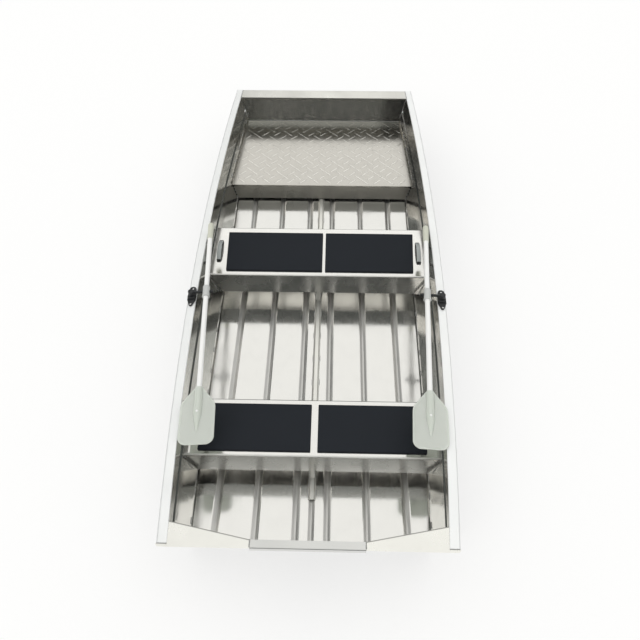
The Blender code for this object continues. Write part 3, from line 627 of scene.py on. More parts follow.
def tread_tree(material):
    """One raised bar to a square cell, turned a quarter from one cell to the next."""
    sizes = ("Cell", "Bar length", "Bar width", "Bar height", "Deck height", "Middle", "Aft", "Fore",
             "Half aft", "Half fore", "Margin")
    tree, graph, size = new_tree("treadplate_bars", sizes)
    index = graph.add("GeometryNodeInputIndex").outputs[0]
    column = graph.calc("MODULO", index, TREAD_CELLS)
    row = graph.calc("FLOOR", graph.calc("DIVIDE", index, TREAD_CELLS))
    odd = graph.calc("MODULO", graph.plus(column, row), 2)
    u, v = (graph.times(graph.minus(count, TREAD_CELLS / 2 - 0.5), size["Cell"]) for count in (column, row))
    x = graph.times(graph.minus(u, v), SLANT)
    y = graph.plus(graph.times(graph.plus(u, v), SLANT), size["Middle"])
    place = graph.add("ShaderNodeCombineXYZ", X=x, Y=y, Z=size["Deck height"])
    dots = graph.add("GeometryNodePoints", Count=TREAD_CELLS * TREAD_CELLS, Position=place)

    # How much of each bar fits before the deck's edge
    spot = graph.axes(graph.add("GeometryNodeInputPosition"))
    half = graph.ramp(spot["Y"], size["Aft"], size["Fore"], size["Half aft"], size["Half fore"])
    beside = graph.minus(half, graph.calc("ABSOLUTE", spot["X"]))
    behind = graph.minus(spot["Y"], size["Aft"])
    ahead = graph.minus(size["Fore"], spot["Y"])
    nearest = graph.calc("MINIMUM", beside, graph.calc("MINIMUM", behind, ahead))
    room = graph.minus(nearest, size["Margin"])
    reach = graph.times(size["Bar length"], SLANT / 2)
    fit = graph.calc("MINIMUM", graph.calc("DIVIDE", room, reach), 1.0)
    short = graph.calc("LESS_THAN", fit, SHORTEST_BAR)
    kept = graph.add("GeometryNodeDeleteGeometry", Geometry=dots, Selection=short)

    ball = graph.add("GeometryNodeMeshUVSphere", Segments=16, Rings=8, Radius=1.0)
    girth = graph.add("ShaderNodeCombineXYZ", X=graph.times(size["Bar length"], 0.5),
                      Y=graph.times(size["Bar width"], 0.5), Z=size["Bar height"])
    shaped = graph.add("GeometryNodeTransform", Geometry=ball, Scale=girth)
    turn = graph.add("ShaderNodeCombineXYZ", Z=graph.plus(QUARTER_TURN / 2, graph.times(odd, QUARTER_TURN)))
    sized = graph.add("ShaderNodeCombineXYZ", X=fit, Y=1.0, Z=1.0)
    bars = graph.add("GeometryNodeInstanceOnPoints", Points=kept, Instance=shaped, Rotation=turn, Scale=sized)
    end_tree(graph, bars, material)
    return tree


# Welds

RIPPLE_SIZES = (0.82, 1.14)
RIPPLE_OVERLAP = 1.15


def weld_tree(material):
    """Overlapping ripples along each seam, a little uneven in size."""
    tree, graph, size = new_tree("weld_beads", ("Bead radius", "Ripple spacing"))
    seam = graph.add("GeometryNodeMeshToCurve", Mesh=size["Geometry"])
    even = graph.add("GeometryNodeResampleCurve", mode="LENGTH", Curve=seam, Length=size["Ripple spacing"])
    tangent = graph.add("GeometryNodeInputTangent")
    turn = graph.add("FunctionNodeAlignEulerToVector", axis="Y", Vector=tangent)
    ball = graph.add("GeometryNodeMeshIcoSphere", Radius=1.0, Subdivisions=1)
    luck = graph.add("FunctionNodeRandomValue", Seed=7)
    luck.inputs[2].default_value, luck.inputs[3].default_value = RIPPLE_SIZES
    girth = graph.times(size["Bead radius"], luck.outputs[1])
    length = graph.times(size["Ripple spacing"], RIPPLE_OVERLAP)
    sized = graph.add("ShaderNodeCombineXYZ", X=girth, Y=length, Z=girth)
    beads = graph.add("GeometryNodeInstanceOnPoints", Points=even, Instance=ball, Rotation=turn, Scale=sized)
    end_tree(graph, beads, material)
    return tree


def stitches(place, start, end, length, pitch):
    """Short welds at an even pitch along a line given by place(y)."""
    paths = []
    y = start
    while y + length <= end:
        paths.append([place(y + length * k / 3) for k in range(4)])
        y += pitch
    return paths


def on_wall(side, y, z, inset=0.001, ahead=0.0):
    """A place on a side panel's inner face, drawn inboard and moved ahead a little."""
    return (side * (wall_half(y, z) - inset), y + ahead, z)


def weld_paths():
    """Every weld of the hull, as a run of points on its seam."""
    paths = []

    def run(place, start, end, count):
        paths.append([place(v) for v in np.linspace(start, end, count)])

    cut_slope = BENCH_CUT / (BENCH_TOP - BENCH_LIP)
    flange = DECK_TOP + DECK_FLANGE
    plate = PLATE_TOP + 0.0002
    for side, _ in SIDES:
        for aft, fore in BENCHES:
            run(lambda y: on_wall(side, y, BENCH_TOP), aft + 0.006, fore - 0.006, 9)
            for y in (aft - 0.0003, fore + 0.0003):
                run(lambda z: on_wall(side, y, z, 0.001 + cut_slope * (BENCH_TOP - z)),
                    BENCH_TOP - 0.004, BENCH_TOP - 0.024, 3)
            run(lambda z: on_wall(side, aft - 0.0018, z, 0.0014, -0.0015),
                BENCH_LIP + 0.004, BENCH_TOP - 0.016, 6)
        run(lambda z: on_wall(side, transom_inner(z), z, ahead=0.001), 0.040, 0.352, 10)
        run(lambda z: on_wall(side, bow_inner(z), z, ahead=-0.001), DECK_TOP + 0.034, 0.392, 6)
        seam = STERN + STERN_CUT
        outer = hull_line(HALF_BEAM, seam)
        run(lambda x: (side * x, seam, plate), outer - GUNWALE_WIDTH + 0.003, outer - 0.006, 5)
        run(lambda y: (side * CAP_HALF, y, plate), STERN + 0.008, STERN + 0.036, 4)
        run(lambda y: (side * gunwale_inner(y), y, gunwale_top(y) - 0.0004),
            BOW_HEAD - BOW_CAP_DEPTH + 0.004, BOW_HEAD - 0.006, 8)
        for low in (0.080, 0.106, 0.132, 0.156):
            run(lambda z: on_wall(side, DECK_AFT, z, 0.0035, 0.0010), low, low + 0.007, 3)
        paths += stitches(lambda y: on_wall(side, y, flange, 0.0018), 0.96, 1.66, 0.035, 0.165)
        paths += stitches(lambda y: on_wall(side, y, floor_top(y) + 0.022, 0.0018), -1.50, 0.86, 0.030, 0.150)
        paths += stitches(lambda y: (side * 0.0205, y, floor_top(y) + 0.0012), -1.34, 0.90, 0.035, 0.170)
        for aft, fore in BENCHES:
            run(lambda z: (side * 0.0134, aft - 0.0003, z), 0.030, 0.094, 4)
    run(lambda x: (x, bow_inner(DECK_TOP) - 0.001, DECK_TOP + 0.0006), -0.60, 0.60, 13)
    return paths


# Seat pads


def rounded_rectangle(x0, x1, y0, y1, radius, steps=7):
    points = []
    for x, y, first in ((x1, y1, 0), (x0, y1, 90), (x0, y0, 180), (x1, y0, 270)):
        cx = x - radius if x == x1 else x + radius
        cy = y - radius if y == y1 else y + radius
        for k in range(steps + 1):
            angle = math.radians(first + 90 * k / steps)
            points.append((cx + radius * math.cos(angle), cy + radius * math.sin(angle)))
    return points


PAD_STEPS = (
    # inset from the outline, share of the height below the crown, share of the crown
    (0.0, 0.0, 0.0), (0.0, 0.60, 0.0), (0.0004, 0.80, 0.0), (0.0014, 0.93, 0.0), (0.0030, 0.98, 0.0),
    (0.0060, 1.0, 0.0), (0.020, 1.0, 0.45), (0.045, 1.0, 0.8), (0.085, 1.0, 1.0),
)


def pad_mesh(name, low, high, crown, side, flare):
    """A foam pad: upright sides, a soft top edge, a faint crown and an outer edge that flares forward."""
    outer = high.x if side > 0 else low.x
    inner = low.x if side > 0 else high.x
    rings = []
    for inset, share, swell in PAD_STEPS:
        z = low.z + (high.z - low.z - crown) * share + crown * swell
        outline = rounded_rectangle(low.x + inset, high.x - inset, low.y + inset, high.y - inset,
                                    max(0.005 - inset, 0.0025))
        ring = []
        for x, y in outline:
            back = (high.y - y) / (high.y - low.y) * (x - inner) / (outer - inner)
            ring.append((x - side * flare * back, y, z))
        rings.append(ring)
    bm = bmesh.new()
    add_rings(bm, rings)
    return mesh_of(bm, name, 60.0)


# Oars


def joint_place(name):
    """Where a joint's axis stands in the boat."""
    return Vector(next(joint for joint in frame["joints"] if joint["name"] == name)["pos_m"])


def oar_frame(hand, side):
    """The matrix from an oar's own frame, with its pin at the origin, to the boat."""
    return (Matrix.Translation(joint_place(hand + "_oar_tilt"))
            @ Matrix.Rotation(-side * TURNED_IN[hand], 4, "Z") @ Matrix.Rotation(OAR_DROP, 4, "X"))


# The blade's flare, its section in half thicknesses, and the rib that narrows towards its tip
BLADE_FLARE = 0.74
SHOULDER_SOFTNESS = 0.006
BLADE_WEB = 0.0019
BLADE_EDGE = 0.0005
RIM_AT = 0.0046
RIM_SPREAD = 0.0036
EDGE_ROUNDING = 0.0026
GROOVE_DEPTH = 0.0009
GROOVE_SPREAD = 0.0035
RIB_NARROW = 0.0012
RIB_WIDENING = 0.0173
RIB_RISE = 0.0183
RIVET_RISE = 0.0181
RIVET_HEAD = (0.0062, 0.0030)


def blade_half(s):
    """Half the blade's width at a distance from its neck: a flare, a round shoulder and a round corner."""
    soft = SHOULDER_SOFTNESS
    flare = BLADE_NECK + BLADE_FLARE * s
    half = -soft * math.log(math.exp(-flare / soft) + math.exp(-BLADE_HALF / soft))
    over = max(s - (BLADE_LENGTH - BLADE_CORNER), 0.0)
    return half - BLADE_CORNER + math.sqrt(max(BLADE_CORNER * BLADE_CORNER - over * over, 0.0))


def blade_height(s, x, edge, rim_height):
    """Half the blade's thickness: a thin web, a rolled rim and the rib that holds the tube."""
    rim = rim_height * math.exp(-((edge - RIM_AT) / RIM_SPREAD) ** 2)
    share = min(edge / EDGE_ROUNDING, 1.0)
    body = (BLADE_WEB + rim) * math.sqrt(max(1 - (1 - share) ** 2, 0.0))
    along = min(max((RIB_TIP - s) / (RIB_TIP - SOCKET_DEPTH), 0.0), 1.0)
    half = RIB_NARROW + RIB_WIDENING * along
    rise = (RIB_RISE - BLADE_WEB) * along
    if abs(x) < half:
        return max(body, BLADE_WEB + rise * math.sqrt(1 - (x / half) ** 2))
    foot = math.exp(-((abs(x) - half) / GROOVE_SPREAD) ** 2) if s < RIB_TIP else 0.0
    return body - GROOVE_DEPTH * foot


def blade_mesh(name, matrix, rim_height):
    rows = 80
    columns = 64
    outline = np.array([(blade_half(s), s) for s in np.linspace(0.0, BLADE_LENGTH, 400)]
                       + [(x, BLADE_LENGTH) for x in np.linspace(0.0, BLADE_HALF - BLADE_CORNER, 40)])
    bm = bmesh.new()
    upper = []
    lower = []
    for i in range(rows + 1):
        s = BLADE_LENGTH * (0.35 * i / rows + 0.65 * math.sin(math.pi / 2 * i / rows))
        half = blade_half(s)
        top_row = []
        low_row = []
        for j in range(columns + 1):
            x = half * (0.5 * (2.0 * j / columns - 1.0) - 0.5 * math.cos(math.pi * j / columns))
            edge = float(np.min(np.hypot(outline[:, 0] - abs(x), outline[:, 1] - s)))
            rise = BLADE_EDGE
            if 0 < j < columns and i < rows:
                rise = max(blade_height(s, x, edge, rim_height), BLADE_EDGE)
            top_row.append(bm.verts.new(matrix @ Vector((x, -BLADE_START - s, rise))))
            low_row.append(bm.verts.new(matrix @ Vector((x, -BLADE_START - s, -rise))))
        upper.append(top_row)
        lower.append(low_row)
    for i in range(rows):
        for j in range(columns):
            bm.faces.new((upper[i][j], upper[i][j + 1], upper[i + 1][j + 1], upper[i + 1][j]))
            bm.faces.new((lower[i][j], lower[i + 1][j], lower[i + 1][j + 1], lower[i][j + 1]))
        for j in (0, columns):
            bm.faces.new((upper[i][j], upper[i + 1][j], lower[i + 1][j], lower[i][j]))
    for i in (0, rows):
        for j in range(columns):
            bm.faces.new((upper[i][j], upper[i][j + 1], lower[i][j + 1], lower[i][j]))
    return mesh_of(bm, name, 50.0)


# Oarlocks


def base_outline():
    """The oarlock's base in plan: a round lobe forward, straight sides and a narrow tip aft."""
    half = BASE_LENGTH / 2
    fore = []
    aft = []
    for k in range(13):
        angle = math.radians(-66 + 11 * k)
        fore.append((BASE_LOBE * math.sin(angle), half - BASE_LOBE + BASE_LOBE * math.cos(angle)))
        aft.append((-BASE_TIP * math.sin(angle), -half + BASE_TIP - BASE_TIP * math.cos(angle)))
    return (fore + [(BASE_HALF, 0.022), (BASE_HALF, -BLOCK_HALF_LENGTH)] + aft
            + [(-BASE_HALF, -BLOCK_HALF_LENGTH), (-BASE_HALF, 0.022)])


def add_moulding(bm, outline, low, high, soft, matrix):
    """A plate with upright sides and a rounded top edge."""
    reach_x = max(x for x, y in outline)
    reach_y = max(y for x, y in outline)
    rings = []
    for inset, z in ((0.0, low), (0.0, high - soft), (soft * 0.3, high - soft * 0.3), (soft, high)):
        rings.append([matrix @ Vector((x * (1 - inset / reach_x), y * (1 - inset / reach_y), z))
                      for x, y in outline])
    add_rings(bm, rings)


def base_mesh(name, matrix):
    bm = bmesh.new()
    add_moulding(bm, base_outline(), 0.0004, BASE_THICK, 0.0022, matrix)
    width, length = BLOCK_HALF_WIDTH, BLOCK_HALF_LENGTH
    block = rounded_rectangle(-width, width, -length, length, 0.009)
    add_moulding(bm, block, 0.0060, BLOCK_HEIGHT, 0.0025, matrix)
    return mesh_of(bm, name)


def swivel_mesh(name, side, matrix):
    """The turning head with its arm, the pin through the oar and the knob inboard of it."""
    low = BLOCK_HEIGHT + 0.0004
    bm = bmesh.new()
    head = [(HEAD_RADIUS - 0.0012, low), (HEAD_RADIUS, low + 0.0012), (HEAD_RADIUS, low + 0.0255),
            (HEAD_RADIUS - 0.0012, low + 0.0282), (HEAD_RADIUS - 0.0040, low + 0.0297), (0.002, low + 0.0300)]
    upright = matrix @ Matrix.Rotation(QUARTER_TURN, 4, "X")
    add_turned(bm, head, upright)
    add_turned(bm, [(0.0078, 0.0062), (0.0078, low + 0.004)], upright)
    lay = matrix @ Matrix.Translation((0.0, 0.0, PIN_HEIGHT)) @ Matrix.Rotation(side * QUARTER_TURN, 4, "Z")
    near = PIN_REACH - COLLAR_RADIUS - 0.0006
    far = PIN_REACH + COLLAR_RADIUS + 0.0006
    add_turned(bm, [(0.0079, 0.004), (0.0079, near - 0.0012), (0.0067, near)], lay, 32)
    add_turned(bm, [(0.0054, near - 0.004), (0.0054, far + 0.004)], lay, 24)
    knob = [(0.0082, far), (0.0098, far + 0.0016), (0.0098, far + 0.0150), (0.0086, far + 0.0184),
            (0.0060, far + 0.0198), (0.0010, far + 0.0200)]
    add_turned(bm, knob, lay, 32)
    return mesh_of(bm, name)


# Strap handles


STRAP_FOOT = 0.011
STRAP_FULLNESS = 2.6
STRAP_SECTION = (
    # share of the half width, depth below the crest
    (-1.0, -0.0018), (-1.0, -0.0008), (-0.8, -0.0002), (0.0, 0.0), (0.8, -0.0002),
    (1.0, -0.0008), (1.0, -0.0018), (0.8, -0.0030), (0.0, -0.0034), (-0.8, -0.0030),
)


def strap_mesh(name, low, high):
    """A springy strap, bowed up between its ends and rounded along its edges."""
    middle = (low.y + high.y) / 2
    half = (high.y - low.y) / 2
    centre = (low.x + high.x) / 2
    width = (high.x - low.x) / 2
    rise = high.z - low.z - STRAP_FOOT
    rings = []
    steps = 40
    for k in range(steps + 1):
        t = -1 + 2 * k / steps
        y = middle + t * (half - 0.004)
        top = low.z + STRAP_FOOT + rise * (1 - abs(t) ** STRAP_FULLNESS) - 0.0006
        slope = -STRAP_FULLNESS * rise * math.copysign(abs(t) ** (STRAP_FULLNESS - 1), t) / half
        length = math.hypot(1.0, slope)
        rings.append([(centre + x * (width - 0.0005), y - z * slope / length, top + z / length)
                      for x, z in STRAP_SECTION])
    bm = bmesh.new()
    add_rings(bm, rings)
    return mesh_of(bm, name)


def strap_feet_mesh(name, low, high):
    """The moulded end caps that hold the strap down."""
    bm = bmesh.new()
    centre = (low.x + high.x) / 2
    for y0, y1 in ((low.y, low.y + 0.026), (high.y - 0.026, high.y)):
        outline = rounded_rectangle(low.x - centre, high.x - centre, -0.013, 0.013, 0.004)
        add_moulding(bm, outline, 0.0, 0.0118, 0.0025, Matrix.Translation((centre, (y0 + y1) / 2, low.z)))
    return mesh_of(bm, name)


# Settings

COLOUR = {"subtype": "COLOR", "size": 3, "min": 0.0, "max": 1.0}


class BoatMetalSettings(bpy.types.PropertyGroup):
    """Bare metal of the hull and the relief of its deck."""

    sheet_tint: FloatVectorProperty(
        name="Sheet tint", description="Colour of the hull's sheet metal",
        default=(0.86, 0.85, 0.82), **COLOUR)
    sheet_roughness: FloatProperty(
        name="Sheet roughness", description="How dull the mill finish is",
        default=0.13, min=0.05, max=1.0)
    extrusion_tint: FloatVectorProperty(
        name="Gunwale tint", description="Colour of the extruded gunwales",
        default=(0.97, 0.98, 0.98), **COLOUR)
    corner_tint: FloatVectorProperty(
        name="Corner tint", description="Colour of the stern corner plates",
        default=(0.93, 0.92, 0.87), **COLOUR)
    cap_tint: FloatVectorProperty(
        name="Stern cap tint", description="Colour of the transom's cap",
        default=(0.74, 0.74, 0.72), **COLOUR)
    tread_tint: FloatVectorProperty(
        name="Deck tint", description="Colour of the treadplate",
        default=(0.63, 0.61, 0.565), **COLOUR)
    # Lighter than the deck's tint: a painted highlight on the raised bars of the same sheet.
    bar_highlight_tint: FloatVectorProperty(
        name="Bar tint", description="Colour of the treadplate's raised bars",
        default=(0.84, 0.82, 0.77), **COLOUR)
    bow_tint: FloatVectorProperty(
        name="Bow cap tint", description="Colour of the bow's cap",
        default=(0.76, 0.75, 0.71), **COLOUR)
    cell: FloatProperty(
        name="Tread cell", description="Side of the square that holds one bar",
        default=0.062, min=0.02, max=0.2, subtype="DISTANCE")
    bar_length: FloatProperty(
        name="Bar length", description="Length of one raised bar",
        default=0.080, min=0.01, max=0.1, subtype="DISTANCE")
    bar_width: FloatProperty(
        name="Bar width", description="Width of one raised bar",
        default=0.0095, min=0.001, max=0.02, subtype="DISTANCE")
    bar_height: FloatProperty(
        name="Bar height", description="Height of one raised bar",
        default=0.0013, min=0.0002, max=0.005, subtype="DISTANCE")


class BoatWeldSettings(bpy.types.PropertyGroup):
    """Weld beads along the seams."""

    bead_radius: FloatProperty(
        name="Bead radius", description="Half the width of a weld bead",
        default=0.0030, min=0.0005, max=0.01, subtype="DISTANCE")
    ripple: FloatProperty(
        name="Ripple spacing", description="Distance from one ripple to the next",
        default=0.0032, min=0.001, max=0.02, subtype="DISTANCE")


class BoatSeatSettings(bpy.types.PropertyGroup):
    """Foam seat pads."""

    pad_colour: FloatVectorProperty(
        name="Pad colour", description="Colour of the foam pads",
        default=(0.008, 0.012, 0.0195), **COLOUR)
    crown: FloatProperty(
        name="Crown", description="How much higher a pad is in its middle",
        default=0.0008, min=0.0, max=0.005, subtype="DISTANCE")


class BoatOarSettings(bpy.types.PropertyGroup):
    """Oars and oarlocks."""

    blade_colour: FloatVectorProperty(
        name="Blade colour", description="Colour of the blades",
        default=(0.64, 0.675, 0.62), **COLOUR)
    grip_colour: FloatVectorProperty(
        name="Grip colour", description="Colour of the grips",
        default=(0.66, 0.67, 0.57), **COLOUR)
    rim_height: FloatProperty(
        name="Rim height", description="How far the rolled rim of a blade stands up",
        default=0.0016, min=0.0, max=0.006, subtype="DISTANCE")


class BoatStageSettings(bpy.types.PropertyGroup):
    """Floor, light and camera."""

    floor_colour: FloatVectorProperty(
        name="Floor colour", description="Colour of the plain floor",
        default=(0.42, 0.42, 0.42), **COLOUR)
    floor_glow: FloatProperty(
        name="Floor glow", description="How much the floor shines by itself",
        default=0.58, min=0.0, max=1.0)
    dome: FloatProperty(
        name="Dome", description="Brightness of the even light that matt things get",
        default=0.94, min=0.0, max=5.0)
    overhead: FloatProperty(
        name="Ceiling", description="Brightness of the ceiling that the metal mirrors",
        default=0.98, min=0.0, max=5.0)
    ahead: FloatProperty(
        name="Ceiling ahead", description="Brightness of the ceiling past the bow",
        default=1.22, min=0.0, max=5.0)
    walls: FloatProperty(
        name="Walls", description="Brightness of the walls that the metal mirrors",
        default=0.06, min=0.0, max=5.0)
    port_shade: FloatProperty(
        name="Port shade", description="How much narrower the ceiling is to port",
        default=0.50, min=0.0, max=2.0)
    key: FloatProperty(
        name="Key light", description="Strength of the soft key light",
        default=0.30, min=0.0, max=20.0)
    lens: FloatProperty(
        name="Lens", description="Focal length of the camera, in millimetres",
        default=36.38, min=10.0, max=200.0)


# Operators


class BOAT_OT_finishes(bpy.types.Operator):
    """Give every CAD node its metal or plastic"""

    bl_idname = "boat.finishes"
    bl_label = "Finishes"

    def execute(self, context):
        prepare_finishes(context.scene)
        for finish, names in NODE_FINISHES.items():
            for name in names:
                slot = frame["nodes"][name].material_slots[0]
                slot.link = "OBJECT"
                slot.material = FINISHES[finish]
        return {"FINISHED"}


class BOAT_OT_treadplate(bpy.types.Operator):
    """Raise the pattern of bars on the bow deck"""

    bl_idname = "boat.treadplate"
    bl_label = "Treadplate"

    def execute(self, context):
        sizes = context.scene.boat_metal
        low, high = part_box("bow_deck")
        aft = low.y
        fore = high.y
        values = {
            "Cell": sizes.cell, "Bar length": sizes.bar_length, "Bar width": sizes.bar_width,
            "Bar height": sizes.bar_height, "Deck height": DECK_TOP, "Middle": (aft + fore) / 2,
            "Aft": aft, "Fore": fore, "Half aft": wall_half(aft, DECK_TOP) - DECK_MARGIN,
            "Half fore": wall_half(fore, DECK_TOP) - DECK_MARGIN, "Margin": DECK_MARGIN,
        }
        tree = tread_tree(FINISHES["tread bars"])
        mesh = grown("deck_tread_bars", tree, values, bpy.data.meshes.new("deck_tread_bars"))
        keep("deck_tread_bars", mesh, None, "hull", "treadplate")
        return {"FINISHED"}


class BOAT_OT_welds(bpy.types.Operator):
    """Lay the weld beads along the hull's seams"""

    bl_idname = "boat.welds"
    bl_label = "Welds"

    def execute(self, context):
        sizes = context.scene.boat_welds
        points = []
        edges = []
        for path in weld_paths():
            edges += [(len(points) + k, len(points) + k + 1) for k in range(len(path) - 1)]
            points += [tuple(float(v) for v in point) for point in path]
        base = bpy.data.meshes.new("weld_beads")
        base.from_pydata(points, edges, [])
        values = {"Bead radius": sizes.bead_radius, "Ripple spacing": sizes.ripple}
        mesh = grown("weld_beads", weld_tree(FINISHES["weld"]), values, base)
        keep("weld_beads", mesh, None, "hull", "aluminium")
        return {"FINISHED"}


class BOAT_OT_pads(bpy.types.Operator):
    """Shape the four foam pads of the benches"""

    bl_idname = "boat.pads"
    bl_label = "Seat pads"

    def execute(self, context):
        crown = context.scene.boat_seats.crown
        for bench, flare in (("front", PAD_FLARE), ("rear", 0.0)):
            for side, hand in SIDES:
                node = "{}_pad_{}".format(bench, hand)
                low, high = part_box(node)
                name = "{}_seat_pad_{}".format(bench, hand)
                mesh = pad_mesh(name, low, high, crown, side, flare)
                keep(name, mesh, "foam", "hull", "pad_foam", node)
        return {"FINISHED"}


class BOAT_OT_oars(bpy.types.Operator):
    """Turn the oars' tubes, grips and collars, and mould their blades"""

    bl_idname = "boat.oars"
    bl_label = "Oars"

    def execute(self, context):
        rim = context.scene.boat_oars.rim_height
        for side, hand in SIDES:
            place = oar_frame(hand, side)
            body = hand + "_oar"
            for part, finish, slot, profile in OAR_PROFILES:
                bm = bmesh.new()
                add_turned(bm, profile, place)
                name = part + "_" + hand
                keep("round_" + name, mesh_of(bm, name), finish, body, slot, "oar_" + name)
            name = "blade_" + hand
            blade = blade_mesh(name, place, rim)
            keep("ribbed_" + name, blade, "blade", body, "blade_plastic", "oar_" + name)
            bm = bmesh.new()
            for up in (1, -1):
                spot = Matrix.Translation((0.0, -BLADE_START - RIVET_AT, up * RIVET_RISE))
                flip = Matrix.Rotation(0.0 if up > 0 else math.pi, 4, "X")
                add_dome(bm, *RIVET_HEAD, place @ spot @ flip)
            keep("blade_rivets_" + hand, mesh_of(bm, "blade_rivets"), "tube", body, "oar_tube")
        return {"FINISHED"}


OAR_PROFILES = (
    # piece, finish, slot, outline as radius and distance from the pin
    ("shaft", "tube", "oar_tube", [(0.0139, -BLADE_START - SOCKET_DEPTH + 0.02), (0.0139, GRIP_END - 0.03)]),
    ("grip", "grip", "grip_plastic", [
        (0.0146, 0.4120), (0.0162, 0.4122), (0.0167, 0.4140), (0.0167, 0.4175), (0.0161, 0.4195),
        (0.0165, 0.4400), (0.0173, 0.4800), (0.0175, 0.5050), (0.0174, 0.5260), (0.0167, 0.5335),
        (0.0149, 0.5376), (0.0118, 0.5393), (0.0060, 0.5400)]),
    ("collar", "collar", "collar_plastic", [
        (0.0143, -0.0380), (0.0200, -0.0380), (0.0215, -0.0372), (0.0220, -0.0355), (0.0217, -0.0330),
        (0.0207, -0.0295), (0.0199, -0.0260), (0.0195, -0.0200), (0.0193, 0.0), (0.0195, 0.0250),
        (0.0195, 0.0355), (0.0188, 0.0372), (0.0176, 0.0380), (0.0143, 0.0380)]),
)


class BOAT_OT_oarlocks(bpy.types.Operator):
    """Mould the oarlocks' bases and turning heads, and set their screws"""

    bl_idname = "boat.oarlocks"
    bl_label = "Oarlocks"

    def execute(self, context):
        for side, hand in SIDES:
            place = joint_place(hand + "_oarlock_swivel")
            half = BASE_LENGTH / 2
            rise = gunwale_top(place.y + half) - gunwale_top(place.y - half)
            seat = Matrix.Translation(place) @ Matrix.Rotation(math.atan2(rise, BASE_LENGTH), 4, "X")
            name = "oarlock_base_" + hand
            keep("moulded_" + name, base_mesh(name, seat), "black", "hull", "black_plastic", name)
            turn = Matrix.Translation(place) @ Matrix.Rotation(-side * TURNED_IN[hand], 4, "Z")
            name = "oarlock_swivel_" + hand
            swivel = swivel_mesh(name, side, turn)
            keep("moulded_" + name, swivel, "black", hand + "_oarlock", "black_plastic", name)
            bm = bmesh.new()
            for y in (half - BASE_LOBE, -half + BASE_TIP):
                add_dome(bm, *SCREW_HEAD, seat @ Matrix.Translation((0.0, y, BASE_THICK)))
            keep("oarlock_screws_" + hand, mesh_of(bm, "oarlock_screws"), "steel", "hull", "aluminium")
        return {"FINISHED"}


class BOAT_OT_handles(bpy.types.Operator):
    """Bow the strap handles between their end caps"""

    bl_idname = "boat.handles"
    bl_label = "Strap handles"

    def execute(self, context):
        for _, hand in SIDES:
            node = "strap_handle_" + hand
            low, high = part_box(node)
            strap = strap_mesh("strap", low, high)
            keep("bowed_strap_" + hand, strap, "strap", "hull", "grey_plastic", node)
            feet = strap_feet_mesh("strap_feet", low, high)
            keep("strap_feet_" + hand, feet, "black", "hull", "black_plastic")
        return {"FINISHED"}


class BOAT_OT_stage(bpy.types.Operator):
    """Set the floor, the soft light and the camera"""

    bl_idname = "boat.stage"
    bl_label = "Stage"

    def execute(self, context):
        scene = context.scene
        stage = scene.boat_stage
        lay_floor(stage)
        light_studio(scene, stage)
        aim_camera(scene, stage)
        scene.view_settings.view_transform = "Standard"
        return {"FINISHED"}


FLOOR_REACH = 30.0

# The ceiling in the sky, as steps across or along to one step up: where it begins and is full
HORIZON = 0.03
CEILING_SIDES = (1.0, 1.3)
CEILING_BACK = (-0.80, -0.25)
CEILING_AHEAD = (0.9, 1.4)
CEILING_NARROWS = 0.35
DARK_HUE = (0.92, 1.0, 0.95)
BRIGHT_HUE = (1.0, 1.0, 0.98)
KEY_HUE = (1.0, 0.99, 0.97)
KEY_DIRECTION = (0.55, 0.60, -0.58)
KEY_SPREAD = math.radians(28)
CAMERA_PLACE = (0.090, -2.731, 3.1115)
CAMERA_PITCH = math.radians(50.49)
CAMERA_YAW = math.radians(-1.70)
CAMERA_ROLL = math.radians(-0.46)


def lay_floor(stage):
    mesh = bpy.data.meshes.new("studio_floor")
    corners = [(x * FLOOR_REACH, y * FLOOR_REACH, 0.0) for x, y in ((-1, -1), (1, -1), (1, 1), (-1, 1))]
    mesh.from_pydata(corners, [], [(0, 1, 2, 3)])
    made, _, shader, _ = new_finish("studio_floor")
    shader.inputs["Base Color"].default_value = colour(stage.floor_colour)
    shader.inputs["Roughness"].default_value = 0.9
    shader.inputs["Specular IOR Level"].default_value = 0.0
    shader.inputs["Emission Color"].default_value = (1.0, 1.0, 1.0, 1.0)
    shader.inputs["Emission Strength"].default_value = stage.floor_glow
    mesh.materials.append(made)
    floor = bpy.data.objects.new("studio_floor", mesh)
    bpy.context.scene.collection.objects.link(floor)


